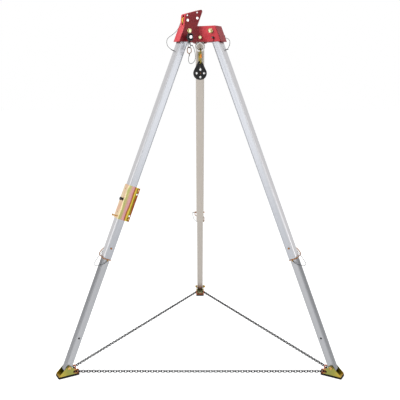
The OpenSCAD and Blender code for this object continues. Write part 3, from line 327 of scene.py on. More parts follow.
def hexagon(bm, af, z0, z1, place):
    """A nut or bolt head, af wide over its flats, with its corners turned off at both ends."""
    steps, flat = 48, af / 2
    end_r, slope = 0.97 * flat, 0.55
    rings = []
    for z, inward in ((z0, 0), (z0, 1), (z1, -1), (z1, 0)):
        ring = []
        for k in range(steps):
            a = 2 * math.pi * k / steps
            r = flat / math.cos((a + math.pi / 6) % (math.pi / 3) - math.pi / 6)
            out = r if inward else end_r
            height = z + inward * (r - end_r) * slope
            ring.append(bm.verts.new(place @ Vector((out * math.cos(a), out * math.sin(a), height))))
        rings.append(ring)
    skin(bm, rings)


def swept(bm, points, section, closed=False, twist=0.0):
    """Sweeps a flat section along points, with no twist of its own but `twist` radians per mm."""
    points = [Vector(p) for p in points]
    count = len(points)

    def at(k):
        return points[k % count] if closed else points[min(max(k, 0), count - 1)]

    ahead = [(at(k + 1) - at(k - 1)).normalized() for k in range(count)]
    side, run, rings = ahead[0].orthogonal().normalized(), 0.0, []
    for k in range(count):
        run += (at(k) - at(k - 1)).length if k else 0.0
        side = (side - ahead[k] * side.dot(ahead[k])).normalized()
        other, c, s = ahead[k].cross(side), math.cos(twist * run), math.sin(twist * run)
        rings.append([
            bm.verts.new(points[k] + side * (u * c - v * s) + other * (u * s + v * c)) for u, v in section
        ])
    skin(bm, rings, closed)


def round_section(d, sides=16):
    angles = [2 * math.pi * k / sides for k in range(sides)]
    return [(d / 2 * math.cos(a), d / 2 * math.sin(a)) for a in angles]


def rounded_outline(x0, x1, y0, y1, r, steps):
    """Points round a box, from the centres of its corners and their radius."""
    outline = []
    for x, y, start in ((x1, y1, 0), (x0, y1, 90), (x0, y0, 180), (x1, y0, 270)):
        for k in range(steps + 1):
            a = math.radians(start + 90 / steps * k)
            outline.append((x + r * math.cos(a), y + r * math.sin(a)))
    return outline


def smooth_path(points, steps=8):
    """A curve that runs smoothly through the points."""
    points = [Vector(p) for p in points]
    last, path = len(points) - 1, []
    for k in range(last):
        a, b, c, d = points[max(k - 1, 0)], points[k], points[k + 1], points[min(k + 2, last)]
        for j in range(steps):
            t = j / steps
            path.append(0.5 * (
                2 * b + (c - a) * t + (2 * a - 5 * b + 4 * c - d) * t * t + (3 * b - a - 3 * c + d) * t**3
            ))
    return path + [points[last]]


def oval(w, h, steps=12):
    """Centreline of an oval wire ring in the X-Z plane, w wide and h high over its centreline."""
    r, up = w / 2, (h - w) / 2
    arc = [math.pi * k / steps for k in range(steps + 1)]
    return [Vector((r * math.cos(a), 0, up + r * math.sin(a))) for a in arc] + [
        Vector((-r * math.cos(a), 0, -up - r * math.sin(a))) for a in arc
    ]


def box(bm, place, x, y, z):
    bmesh.ops.create_cube(bm, size=1, matrix=place @ Matrix.Diagonal((x, y, z, 1)))


def clean_copy(node):
    """The CAD node's solid in mm, with its triangles merged back into whole faces."""
    bm = bmesh.new()
    bm.from_mesh(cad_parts[node].data)
    bm.transform(Matrix.Scale(1000, 4))
    bmesh.ops.remove_doubles(bm, verts=bm.verts, dist=0.003)
    bmesh.ops.dissolve_limit(bm, angle_limit=math.radians(1), verts=bm.verts, edges=bm.edges)
    return bm


def bend(bm, place, chosen, offset):
    """Rounds the folds of a sheet: every edge whose two ends, in the frame `place`, are chosen."""
    back = place.inverted()
    folds = [e for e in bm.edges if chosen(back @ e.verts[0].co, back @ e.verts[1].co)]
    bmesh.ops.bevel(bm, geom=folds, offset=offset, segments=4, profile=0.5, affect="EDGES",
                    clamp_overlap=True)


def made(bm, name, body, material, replaces=None, edge=0.0):
    """Turns a shape into a piece of the scene that rides on its body."""
    sharp = math.radians(38)
    bmesh.ops.recalc_face_normals(bm, faces=bm.faces)
    bm.transform(Matrix.Scale(MM, 4))
    mesh = bpy.data.meshes.new(name)
    bm.to_mesh(mesh)
    bm.free()
    mesh.shade_smooth()
    mesh.set_sharp_from_angle(angle=sharp)
    mesh.materials.append(material)
    piece = bpy.data.objects.new(name, mesh)
    scene.collection.objects.link(piece)
    if edge:
        rounding = piece.modifiers.new("edge", "BEVEL")
        rounding.width = edge * MM
        rounding.segments = 2
        rounding.limit_method = "ANGLE"
        rounding.angle_limit = sharp
        rounding.harden_normals = True
    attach(piece, body)
    if replaces:
        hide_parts(replaces)
    return piece


def dressed(node, name, body, material, edge=0.6, folds=()):
    """A CAD solid with whole faces, rounded folds and broken edges, in the place of its node."""
    bm = clean_copy(node)
    for place, chosen, offset in folds:
        bend(bm, place, chosen, offset)
    return made(bm, name, body, material, node, edge)


# Wire lanyards
# Routes are in mm, as in the source: of the head lanyards in their arm's frame, and of the lock
# lanyards in their leg's
LEFT_HEAD_ROUTE = [
    (192.6, -18, 2118), (200, -19, 2121), (214, -22, 2129), (230, -25, 2144), (238, -26, 2165),
    (234, -28, 2188), (216, -36, 2204), (190, -48, 2218), (160, -54, 2238), (138, -54, 2262),
    (126, -51, 2290), (119, -43, 2305), (117.5, -30.5, 2308),
]
RIGHT_HEAD_ROUTE = [
    (190.1, 17, 2124), (198, 19, 2127), (206, 24, 2140), (209, 32, 2158), (202, 46, 2180),
    (182, 62, 2196), (160, 69, 2202), (145.6, 70, 2203),
]
PIN_ROUTE = [
    (124.7, 75, 2095.7), (125, 74.5, 2086), (129, 72, 2066), (128, 74, 2044), (116, 78, 2032),
    (100, 84, 2040), (90, 92, 2060), (92, 97, 2088), (100, 102, 2114), (110, 105, 2136),
    (120, 103, 2147), (124.7, 94.4, 2149),
]
LOCK_ROUTE = [
    (-6, -27.8, -1600.3), (-5, -28.2, -1608), (4, -31, -1624), (24, -32, -1642), (46, -14, -1658),
    (54, 8, -1666), (52, 30, -1660), (40, 46, -1636), (24, 56, -1600), (10, 60, -1562),
    (3, 60, -1536), (0, 54, -1526.5), (0, 46.4, -1525),
]
ROPE_D, ROPE_TURN = 3.4, 18
FERRULE = [(1.6, 0.2), (2.8, 0.4), (3.1, 3.2), (2.8, 3.8), (2.8, 15), (2.4, 15.6), (1.6, 15.6), (1.6, 0.2)]


def lanyard(name, body, place, route, node, mirrored=1, first=black_nylon):
    """One wire rope with its two crimped ferrules. first finishes the ferrule
    where the route starts; the other one is black."""
    path = [place @ Vector((p.x, mirrored * p.y, p.z)) for p in smooth_path(route)]
    # the strands show as six lobes that turn once in 18 mm
    radii = [ROPE_D / 2, ROPE_D * 0.40] * 6
    angles = [2 * math.pi * k / 12 for k in range(12)]
    lobes = [(r * math.cos(a), r * math.sin(a)) for r, a in zip(radii, angles)]
    bm = bmesh.new()
    swept(bm, path, lobes, twist=2 * math.pi / ROPE_TURN)
    rope = made(bm, name, body, wire_rope, node)
    ferrules = []
    for end, step, sleeve in ((0, 1, first), (len(path) - 1, -1, black_nylon)):
        aim = (path[end + 3 * step] - path[end]).normalized()
        lies = Matrix.Translation(path[end]) @ aim.to_track_quat("Z", "Y").to_matrix().to_4x4()
        bm = bmesh.new()
        turned(bm, FERRULE, lies, 20)
        ferrules.append(made(bm, name + "_ferrule_%d" % len(ferrules), body, sleeve))


lanyard("left_tower_lanyard", "leg_left", ARM[LEFT], LEFT_HEAD_ROUTE, "lanyards_left")
lanyard("right_pin_lanyard", "leg_right", ARM[RIGHT], RIGHT_HEAD_ROUTE, "lanyards_right")
lanyard("left_pin_lanyard", "head_pin_left", ARM[LEFT], PIN_ROUTE, "lanyard_pin")
for i, node in enumerate(["lanyards_left", "lanyards_right", "lanyard_back"]):
    lanyard(SIDES[i] + "_lock_lanyard", "leg_" + SIDES[i], LEG[i], LOCK_ROUTE, node, LOCK_SIDE[i], brass)

# Head plates with their strips
BEND_OUT, BEND_IN = 8, 3


def fold_corners(x, y):
    """Picks the upright edges at y that lie x to either side of a plate's middle."""
    def chosen(a, b):
        side = math.copysign(x, a.x)
        return all(abs(p.x - side) < 0.2 and abs(p.y - y) < 0.2 for p in (a, b))
    return chosen


def end_corner(x, y):
    """Picks the edge of an end flap at y, which leans inwards from x at the plate's lower edge."""
    def chosen(a, b):
        lean = math.tan(SPLAY)
        return all(abs(p.y - y) < 0.2 and abs(p.x - x + (p.z - PLATE_LOW) * lean) < 0.3 for p in (a, b))
    return chosen


for k, name in enumerate(["head_plate_front", "head_plate_right", "head_plate_left"]):
    plate = CENTRE @ turn(120 * k, "Z")
    arm = plate @ turn(330, "Z")
    folds = [
        (plate, fold_corners(FOLD_HALF, -FOLD_Y), 3.6),
        (plate, fold_corners(FOLD_BACK, PLATE_T - FOLD_Y), 2.0),
        (arm, end_corner(ARM_REACH, -ARM_HALF), BEND_OUT),
        (arm, end_corner(ARM_REACH - PLATE_T / math.cos(SPLAY), -ARM_IN), BEND_IN),
    ]
    dressed(name, name + "_sheet", "head", red_powder_coat, edge=0.8, folds=folds)
dressed("head_bands", "head_bands_strips", "head", red_powder_coat, edge=1.4)

# Hub with its bolts, and the washer and nut of the eye on its top
dressed("hub", "hub_block", "head", grey_casting, edge=1.0)
bm = bmesh.new()
washers = bmesh.new()
for k in range(3):
    out = CENTRE @ turn(120 * k, "Z") @ shift(0, -FOLD_Y, HUB_LOW + HUB_H / 2) @ ALONG_Y
    rod(bm, 12, -2, 34, out)
    washer(washers, 24, 12, -2, 0, out)
    hexagon(bm, 19, -10, -2, out)
# The washers' dark brown is painted shade round the bolt heads
made(washers, "hub_bolt_washers", "head", painted_shade_washer_zinc)
hub_top = CENTRE @ shift(0, 0, HUB_LOW + HUB_H)
washer(bm, 30, 16, 0, 3, hub_top)
hexagon(bm, 24, 3, 16, hub_top)
made(bm, "hub_bolt_heads", "head", bolt_zinc, "hub_bolts")

# Forged eye: a round ring that swells into its collar, with a threaded shank through the hub
bm = bmesh.new()
eye = CENTRE @ shift(0, 0, EYE_Z)
EYE_R, EYE_WIRE = 26.75, 14.5
EYE_COLLAR = [(0, 24), (9, 25), (9.6, 28), (11, 30), (13.6, 31), (14, 31.6), (14, 36.4), (13.4, 37),
              (8, 37), (8, 94), (0, 94)]
circle = [eye @ Vector((x, 0, z)) for x, z in round_section(2 * EYE_R, 72)]
swept(bm, circle, round_section(EYE_WIRE, 24), closed=True)
turned(bm, EYE_COLLAR, eye)
threaded(bm, 16, 95, 37 + HUB_H + 20, 2, eye)
made(bm, "forged_eye_bolt", "head", forged_zinc, "eye_bolt")

# Leg pivot bolts
bm = bmesh.new()
for arm in ARM:
    axis = arm @ shift(PIVOT_R, 0, PIVOT_Z) @ ALONG_Y
    rod(bm, 16, -62, 44, axis)
    threaded(bm, 16, -65, -59, 2, axis)
    washer(bm, 30, 16, 43, 46, axis)
    hexagon(bm, 24, 46, 56, axis)
    washer(bm, 30, 16, -46, -43, axis)
    hexagon(bm, 24, -60, -46, axis)
made(bm, "pivot_bolts_and_nuts", "head", bolt_zinc, "pivot_bolts")

# Guide tower, with the axles and keepers at (x, z) in its frame
TOWER_FRONT, TOWER_REAR, TOWER_MID = 38, -22, 8
AXLES = [(117, 34), (45, 50)]
KEEPERS = [(119.5, 65), (46, 86)]


def tower_rim(y):
    """Picks the outer edge that runs round the folded tower in its face at y."""
    def chosen(a, b):
        if abs(a.y - y) > 0.1 or abs(b.y - y) > 0.1 or min(a.z, b.z) < 0.5 or min(a.x, b.x) < 18:
            return False
        mid_x, mid_z = (a.x + b.x) / 2, (a.z + b.z) / 2
        if any(math.hypot(mid_x - x, mid_z - z) < 10 for x, z in AXLES + KEEPERS):
            return False
        return mid_x > 124 or mid_z > 73.5 + (125 - mid_x) * 0.2
    return chosen


rims = [(TOWER, tower_rim(TOWER_FRONT), 3.2), (TOWER, tower_rim(TOWER_REAR), 3.2)]
dressed("tower", "guide_tower", "head", red_powder_coat, edge=0.7, folds=rims)

AXLE_HEAD = [(0, 38), (9, 38), (9, 42.6), (7.8, 44), (4.2, 44), (3.4, 42.4), (0, 42.4)]
bm = bmesh.new()
for x, z in AXLES:
    axis = TOWER @ shift(x, 0, z) @ ALONG_Y
    rod(bm, 12, -29, 39, axis)
    turned(bm, AXLE_HEAD, axis)
    hexagon(bm, 18, -30, -22, axis)
    threaded(bm, 12, -33, -29, 1.75, axis)
    washer(bm, 18, 12, 17.15, 33.85, axis)
    washer(bm, 18, 12, -17.85, -1.15, axis)
for x, z in KEEPERS:
    axis = TOWER @ shift(x, 0, z) @ ALONG_Y
    rod(bm, 6, -25, 39, axis, steps=20)
    hexagon(bm, 10, 38, 42, axis)
    hexagon(bm, 10, -26, -22, axis)
made(bm, "tower_axles_and_keepers", "head", bright_zinc, "tower_bolts")


def sheave(name, body, r, w, bore, groove, place, material):
    """A turned sheave: round groove, thin web with a raised rim and hub, and a bushing."""
    h, inner = w / 2, bore / 2
    top = math.acos(1 / groove)
    arc = [top * (1 - k / 8) for k in range(17)]
    side = [(inner, -h), (inner + 5, -h), (inner + 5.8, -h + 1.6), (r - 7, -h + 1.6), (r - 5.6, -h),
            (r - 0.8, -h), (r, -h + 0.8)]
    rim = [(r + 1 - groove * math.cos(a), -groove * math.sin(a)) for a in arc]
    bm = bmesh.new()
    turned(bm, side + rim + [(p, -q) for p, q in reversed(side)] + [side[0]], place, 64)
    made(bm, name, body, material, body)
    bm = bmesh.new()
    outer, end = inner + 1.8, h + 0.1
    turned(bm, [(inner, -end), (outer, -end), (outer, end), (inner, end), (inner, -end)], place)
    made(bm, name + "_bushing", body, brass)


for name, (x, z) in zip(["sheave_outer", "sheave_inner"], AXLES):
    sheave(name + "_wheel", name, 24, 18, 12.1, 6, TOWER @ shift(x, TOWER_MID, z) @ ALONG_Y, yellow_nylon)

# Legs
for i, s in enumerate(SIDES):
    dressed("outer_tube_" + s, "upper_tube_" + s, "leg_" + s, upper_aluminium[i], edge=0.7)
    dressed("inner_tube_" + s, "lower_tube_" + s, "lower_leg_" + s, lower_aluminium[i], edge=0.6)

# Telescope lock pins: a turned head, a nose and a spring wire bail round the tube
BAIL_OUT, BAIL_HEAD = 34, 42
BAIL = [
    (-1, BAIL_HEAD, 0), (14, BAIL_HEAD, -10), (BAIL_OUT, BAIL_HEAD, -48), (BAIL_OUT + 4, 30, -66),
    (BAIL_OUT + 4, 0, -70), (BAIL_OUT + 3, -30, -73), (BAIL_OUT - 10, -BAIL_OUT, -76), (-24, -BAIL_OUT, -77),
]
LOCK_HEAD = [(0, 25.8), (5.4, 25.8), (6, 26.4), (6, 38.4), (5, 39.2), (5, 44), (6, 44.6), (6, 45.4),
             (5.4, 46), (0, 46)]
LOCK_NOSE = [(0, -38), (4, -37.6), (5.6, -36), (6, -34), (6, -26.4), (5.4, -25.8), (0, -25.8)]
for i, s in enumerate(SIDES):
    hole = LEG[i] @ shift(0, 0, -LOCK_T) @ Matrix.Diagonal((1, LOCK_SIDE[i], 1, 1))
    bm = bmesh.new()
    turned(bm, LOCK_HEAD, hole @ ALONG_Y, 32)
    turned(bm, LOCK_NOSE, hole @ ALONG_Y, 32)
    swept(bm, [hole @ p for p in smooth_path(BAIL)], round_section(6, 14))
    made(bm, "spring_lock_pin_" + s, "lock_pin_" + s, lock_zinc, "lock_pin_" + s)

# Head lock pins
GRIP_Y, RING_Y, EAR_DROP = 49, 75, 29
# Each grip flares from a round neck at the cheek to a rounded oblong face, hollow behind its rim.
# Its rings are (width, height, corner radius, y along the pin).
GRIP_RINGS = [
    (22, 22, 11, 49), (24, 24, 12, 49.6), (25.6, 25.6, 12.8, 53), (31, 33, 14, 66), (38, 42, 12, 79),
    (40.6, 45.4, 10.6, 84), (41, 46, 10.2, 86), (41, 46, 10.2, 89.6), (39.8, 44.8, 9.8, 90.8),
    (38, 43, 9, 91), (30.6, 35.6, 6, 91), (29, 34, 5, 90.4), (28, 33, 5, 78), (26.4, 28, 12, 76),
    (26, 26, 13, 77), (25.8, 25.8, 12.9, 90.2), (24.6, 24.6, 12.3, 91), (22.6, 22.6, 11.3, 91),
    (22.4, 22.4, 11.2, 85),
]
SHANK = [(0, -57), (4.6, -57), (6, -55), (6.5, -53), (6.5, GRIP_Y + 3), (0, GRIP_Y + 3)]
BALL = [(0, -2.2), (1.6, -1.5), (2.2, 0), (1.6, 1.5), (0, 2.2)]
BUTTON = [(0, 89.3), (10.4, 89.3), (11, 90), (11, 97.2), (10.2, 98.6), (8.8, 99), (7, 98.5), (0, 98.2)]


def grip_ring(bm, place, w, h, r, y):
    x, z = w / 2 - r, h / 2 - r
    return [bm.verts.new(place @ Vector((u, y, v))) for u, v in rounded_outline(-x, x, -z, z, r, 8)]


for i, s in enumerate(SIDES):
    body, axis = "head_pin_" + s, HEAD_PIN[i] @ ALONG_Y
    bm = bmesh.new()
    skin(bm, [grip_ring(bm, HEAD_PIN[i], *size) for size in GRIP_RINGS])
    washer(bm, 14, 7, -3, 3, HEAD_PIN[i] @ shift(0, RING_Y, -EAR_DROP) @ ALONG_Y)
    box(bm, HEAD_PIN[i] @ shift(0, RING_Y, -19.6), 13, 6, 12)
    made(bm, "moulded_grip_" + s, body, black_nylon, body, edge=0.8)
    bm = bmesh.new()
    turned(bm, SHANK, axis)
    for a in (0, 180):
        turned(bm, BALL, axis @ turn(a, "Z") @ shift(5.1, 0, -50) @ ALONG_X, 16)
    made(bm, "ball_pin_shank_" + s, body, oiled_steel)
    bm = bmesh.new()
    turned(bm, BUTTON, axis, 48)
    made(bm, "release_button_" + s, "pin_button_" + s, bright_zinc, "pin_button_" + s)

# Shackle link under the left grip
SHACKLE_Z = PIN_Z - 48.9
bm = bmesh.new()
shackle = ARM[LEFT] @ shift(PIN_R, RING_Y, SHACKLE_Z) @ turn(90, "Z")
swept(bm, [shackle @ p for p in oval(34, 38)], round_section(4, 14), closed=True)
made(bm, "shackle_link", "head_pin_left", galvanised, "pin_ring")

# Split key ring in the shackle: two flat-sided coils side by side read as the split
KEY_RING_Z = SHACKLE_Z - 34.7
bm = bmesh.new()
key_ring = ARM[LEFT] @ shift(PIN_R, RING_Y, KEY_RING_Z)
coils = [(-2.47, 0), (-2.08, 1.69), (-0.78, 2.47), (-0.156, 1.95), (0.156, 1.95), (0.78, 2.47), (2.08, 1.69)]
coils += [(-u, -v) for u, v in coils]
swept(bm, [key_ring @ p for p in oval(30, 40)], coils, closed=True)
made(bm, "split_key_ring", "head_pin_left", bronze, "pin_ring")


# Winch bracket
def bracket_corner(a, b):
    return all(abs(p.x - 33.2) < 0.1 and abs(abs(p.y) - 33) < 0.1 for p in (a, b)) and a.y * b.y > 0


dressed("winch_bracket", "winch_bracket_sheet", "leg_left", bracket_zinc, edge=0.5,
        folds=[(LEG[LEFT], bracket_corner, 3.4)])
BRACKET_T, BRACKET_LEN = 1090, 234
HOOK_PIN = [(0, 0), (4.5, 0), (4.5, 23), (5.4, 24), (7, 24.4), (7, 27.2), (6.2, 28), (0, 28)]
bm = bmesh.new()
for t in (16, 218):
    axis = LEG[LEFT] @ shift(-45, 0, -BRACKET_T - t) @ ALONG_Y
    rod(bm, 8, -37, 30, axis, steps=24)
    threaded(bm, 8, -39, -35, 1.25, axis)
    hexagon(bm, 13, 29, 35, axis)
    hexagon(bm, 13, -36, -29, axis)
turned(bm, HOOK_PIN, LEG[LEFT] @ shift(33.2, 0, -BRACKET_T - BRACKET_LEN + 14) @ ALONG_X, 32)
made(bm, "bracket_clamp_bolts", "leg_left", yellow_zinc, "bracket_bolts")

# Spring plunger of the bracket, with a fluted knob
KNOB = [(0, -4), (3, -4), (4, -3), (4, 4), (8, 4), (8, 8.6), (7.4, 9.2), (7.4, 9.6), (10, 9.6),
        (11, 10.4), (11, 16.6), (9.6, 18), (0, 18)]
bm = bmesh.new()
turned(bm, KNOB, LEG[LEFT] @ shift(30, 0, -BRACKET_T - 102) @ ALONG_X, 48, flutes=0.6, above=10.5)
made(bm, "spring_plunger_knob", "bracket_plunger", black_nylon, "bracket_plunger")

# Carabiner: body, gate and screw sleeve
BAR_R, BEND_R, STRAIGHT = 5, 25, 24
CARABINER_TOP = EYE_Z - EYE_R + EYE_WIRE / 2 + BAR_R + 0.3
CARABINER_BOTTOM = CARABINER_TOP - 98
CARABINER_MID = (CARABINER_TOP + CARABINER_BOTTOM) / 2
GATE_LOW = CARABINER_MID - STRAIGHT + 2
GATE_LEN = 2 * STRAIGHT - 7
GATE = [(0, 10), (4.2, 10), (4.6, 10.4), (4.6, GATE_LEN - 0.4), (4.2, GATE_LEN), (0, GATE_LEN)]
HINGE_PIN = [(0, -6.5), (1.2, -6.5), (1.5, -6.2), (1.5, 6.2), (1.2, 6.5), (0, 6.5)]
SLEEVE = [(4.65, 11), (6, 11), (6.5, 11.4), (6.5, 13), (7, 13.4), (7, 32.6), (6.5, 33), (6.5, 34.6),
          (6, 35), (4.65, 35), (4.65, 11)]
high = [math.pi * k / 20 for k in range(21)]
bar = [Vector((0, -BEND_R, CARABINER_MID + STRAIGHT - 4))]
for way in (1, -1):
    ends = CARABINER_MID + way * STRAIGHT
    bar += [Vector((0, -way * BEND_R * math.cos(a), ends + way * BEND_R * math.sin(a))) for a in high]
bm = bmesh.new()
swept(bm, [GEAR @ p for p in bar], round_section(10, 20))
for side in (-1, 1):
    box(bm, GEAR @ shift(side * 4, -BEND_R, CARABINER_MID - STRAIGHT + 4.5), 3.2, 8, 9)
made(bm, "carabiner_body", "carabiner", carabiner_zinc, "carabiner", edge=0.5)
bm = bmesh.new()
gate = GEAR @ shift(0, -BEND_R, GATE_LOW)
turned(bm, GATE, gate, 32)
box(bm, gate @ shift(0, 0, 5.6), 4.2, 7.2, 10)
turned(bm, HINGE_PIN, gate @ shift(0, 0, 4) @ ALONG_X, 16)
made(bm, "carabiner_gate_barrel", "carabiner_gate", carabiner_zinc, "carabiner_gate", edge=0.4)
bm = bmesh.new()
turned(bm, SLEEVE, gate, 48, flutes=0.45, above=6.9)
made(bm, "screw_sleeve", "carabiner_sleeve", orange_anodised, "carabiner_sleeve")

# Pulley block: cheeks, axle, spacers and wheel
for node in ("block_cheek_front", "block_cheek_rear"):
    dressed(node, node + "_plate", "pulley_block", black_paint, edge=1.0)
BAR_RISE = BEND_R - math.sqrt(BEND_R**2 - 16**2)
HOLE_Z = CARABINER_BOTTOM + BAR_RISE + BAR_R / math.cos(math.asin(16 / BEND_R)) + 0.9 - 9
AXLE_Z = HOLE_Z - 67
BLOCK_AXLE = [(0, -18.2), (3.6, -18.2), (4, -19), (6, -19), (7.2, -18.2), (7.5, -17.4), (7.5, -16),
              (5.5, -16)]
AXLE_CAP = [(0, 0), (3, 0), (3.5, 0.5), (3.5, 1.3), (3, 1.8), (0, 1.8)]
axle = GEAR @ shift(0, 0, AXLE_Z) @ ALONG_Y
bm = bmesh.new()
turned(bm, BLOCK_AXLE + [(r, -z) for r, z in reversed(BLOCK_AXLE)], axle)
for side in (-15, 15):
    rod(bm, 8, -11, 11, GEAR @ shift(side, 0, HOLE_Z - 24) @ ALONG_Y, steps=24)
made(bm, "block_axle_heads", "pulley_block", black_paint, "block_axle")
bm = bmesh.new()
for y in (-18.8, 17):
    turned(bm, AXLE_CAP, axle @ shift(0, 0, y), 24)
made(bm, "block_axle_ends", "pulley_block", bronze)
sheave("block_wheel", "block_sheave", 36, 20, 11.1, 8, axle, polished_aluminium)

# Feet: folded bracket, rubber pad and bolt
PAD_EDGE_Z = PAD_T - FOOT_PIVOT_H
# The pad's levels are (inset, height). It has a groove round its side and a bevelled tread.
PAD_LEVELS = [(2.5, 0), (1, 0.8), (0, 2.2), (0, 5.4), (1.2, 6), (1.2, 7.4), (0, 8), (0, 12.2), (0.8, 13.2),
              (2, 13.5)]


def foot_fold(a, b):
    at_edge = [abs(abs(p.y) - FOOT_W / 2) < 0.1 and abs(p.z - PAD_EDGE_Z) < 0.1 for p in (a, b)]
    return all(at_edge) and a.y * b.y > 0


def pad_ring(bm, place, inset, z):
    y = FOOT_W / 2 - PAD_CORNER
    outline = rounded_outline(PAD_CORNER - FOOT_IN, FOOT_OUT - PAD_CORNER, -y, y, PAD_CORNER - inset, 6)
    return [bm.verts.new(place @ Vector((u, v, z - FOOT_PIVOT_H))) for u, v in outline]


for i, s in enumerate(SIDES):
    body = "foot_" + s
    dressed("foot_bracket_" + s, "foot_channel_" + s, body, foot_zinc[i], edge=0.6,
            folds=[(FOOT[i], foot_fold, 3.4)])
    bm = bmesh.new()
    skin(bm, [pad_ring(bm, FOOT[i], *level) for level in PAD_LEVELS])
    made(bm, "rubber_pad_" + s, body, black_rubber, "foot_pad_" + s)
    bm = bmesh.new()
    axis = FOOT[i] @ ALONG_Y
    rod(bm, 12, -45, 35, axis)
    threaded(bm, 12, -48.1, -43, 1.75, axis)
    hexagon(bm, 19, 34.1, 42.1, axis)
    hexagon(bm, 19, -44.1, -34.1, axis)
    for z0, z1 in ((24.65, 29.95), (-29.95, -24.65)):
        washer(bm, 20, 12, z0, z1, axis)
    made(bm, "foot_bolt_and_nut_" + s, body, yellow_zinc, "foot_bolt_" + s)

# Safety chain: its height, the radius of its turn round a foot, and the size of its links
CHAIN_H, TURN_R, LINKS, LINK_W, WIRE = 31, 36, 98, 21, 5
TURN_AT = FOOT_R - FOOT_IN + TURN_R - 28


def link_tree():
    """Geometry Nodes: welded links set along a path, each turned a quarter from the last."""
    tree = bpy.data.node_groups.new("chain_links", "GeometryNodeTree")
    face = tree.interface
    face.new_socket("Path", in_out="INPUT", socket_type="NodeSocketGeometry")
    for name in ("Link Length", "Link Width", "Wire"):
        face.new_socket(name, in_out="INPUT", socket_type="NodeSocketFloat")
    face.new_socket("Links", in_out="INPUT", socket_type="NodeSocketInt")
    face.new_socket("Finish", in_out="INPUT", socket_type="NodeSocketMaterial")
    face.new_socket("Chain", in_out="OUTPUT", socket_type="NodeSocketGeometry")
    given = add(tree, "NodeGroupInput").outputs
    long = worked(tree, "SUBTRACT", given["Link Length"], given["Wire"])
    wide = worked(tree, "SUBTRACT", given["Link Width"], given["Wire"])
    radius = worked(tree, "MULTIPLY", wide, 0.4999)
    flat = add(tree, "GeometryNodeCurvePrimitiveQuadrilateral", {"Width": long, "Height": wide})
    rounding = {"Curve": flat.outputs["Curve"], "Count": 4, "Radius": radius}
    bent = add(tree, "GeometryNodeFilletCurve", rounding, mode="POLY")
    thick = worked(tree, "MULTIPLY", given["Wire"], 0.5)
    bar = add(tree, "GeometryNodeCurvePrimitiveCircle", {"Resolution": 7, "Radius": thick})
    shape = {"Curve": bent.outputs["Curve"], "Profile Curve": bar.outputs["Curve"]}
    one = add(tree, "GeometryNodeCurveToMesh", shape)
    spaced = add(tree, "GeometryNodeResampleCurve", {"Curve": given["Path"], "Count": given["Links"]})
    order = add(tree, "GeometryNodeInputIndex").outputs[0]
    roll = worked(tree, "MULTIPLY", worked(tree, "MODULO", order, 2.0), math.pi / 2)
    along = {"Vector": add(tree, "GeometryNodeInputTangent").outputs[0]}
    ahead = add(tree, "FunctionNodeAlignRotationToVector", along, axis="X", pivot_axis="Z")
    about = add(tree, "FunctionNodeAxisAngleToRotation", {"Axis": (1, 0, 0), "Angle": roll})
    both = {0: ahead.outputs[0], 1: about.outputs[0]}
    posed = add(tree, "FunctionNodeRotateRotation", both, rotation_space="LOCAL")
    keep = add(tree, "GeometryNodeCaptureAttribute", {"Geometry": spaced.outputs["Curve"]})
    keep.capture_items.new("ROTATION", "Pose")
    tree.links.new(posed.outputs[0], keep.inputs["Pose"])
    points = add(tree, "GeometryNodeCurveToPoints", {"Curve": keep.outputs["Geometry"]}, mode="EVALUATED")
    copies = {"Points": points.outputs[0], "Instance": one.outputs["Mesh"], "Rotation": keep.outputs["Pose"]}
    placed = add(tree, "GeometryNodeInstanceOnPoints", copies)
    real = add(tree, "GeometryNodeRealizeInstances", {"Geometry": placed.outputs["Instances"]})
    smooth = add(tree, "GeometryNodeSetShadeSmooth", {"Geometry": real.outputs["Geometry"]})
    coat = {"Geometry": smooth.outputs["Geometry"], "Material": given["Finish"]}
    coated = add(tree, "GeometryNodeSetMaterial", coat)
    tree.links.new(coated.outputs["Geometry"], add(tree, "NodeGroupOutput").inputs["Chain"])
    return tree


links = link_tree()
straight = 2 * TURN_AT * math.cos(math.pi / 6)
pitch = (straight + TURN_R * 2 * math.pi / 3) / LINKS
# Each part runs from a pitch past one mid-stretch, round its foot, to the other mid-stretch
arc = [math.radians(-60 + 4 * k) for k in range(31)]
way = [Vector((TURN_R * math.cos(a), TURN_R * math.sin(a), 0)) for a in arc]
out = Vector((math.sin(math.radians(-60)), -math.cos(math.radians(-60)), 0))
first = way[0] + out * (straight / 2 - pitch)
last = way[-1] + Vector((out.x, -out.y, 0)) * (straight / 2)
line = [first] + way + [last]
sizes = {
    "Link Length": (pitch + 0.6 + 2 * WIRE) * MM, "Link Width": LINK_W * MM, "Wire": WIRE * MM,
    "Links": LINKS, "Finish": galvanised,
}
for i, s in enumerate(SIDES):
    curve = bpy.data.curves.new("chain_path_" + s, "CURVE")
    curve.dimensions = "3D"
    spline = curve.splines.new("POLY")
    spline.points.add(len(line) - 1)
    for point, p in zip(spline.points, line):
        point.co = ((ARM[i] @ (p + Vector((TURN_AT, 0, CHAIN_H)))) * MM).to_4d()
    path = bpy.data.objects.new("chain_path_" + s, curve)
    scene.collection.objects.link(path)
    laid = path.modifiers.new("links", "NODES")
    laid.node_group = links
    for socket in links.interface.items_tree:
        if socket.name in sizes:
            laid[socket.identifier] = sizes[socket.name]
    shown = path.evaluated_get(bpy.context.evaluated_depsgraph_get())
    mesh = bpy.data.meshes.new_from_object(shown)
    bpy.data.objects.remove(path)
    chain = bpy.data.objects.new("safety_chain_" + s, mesh)
    scene.collection.objects.link(chain)
    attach(chain, "lower_leg_" + s)
    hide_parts("chain_" + s)

# CAD parts whose shape is already right
for kind, material in (("pivot_sleeve_", machined_steel), ("glide_", black_nylon)):
    for s in SIDES:
        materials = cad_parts[kind + s].data.materials
        materials.clear()
        materials.append(material)


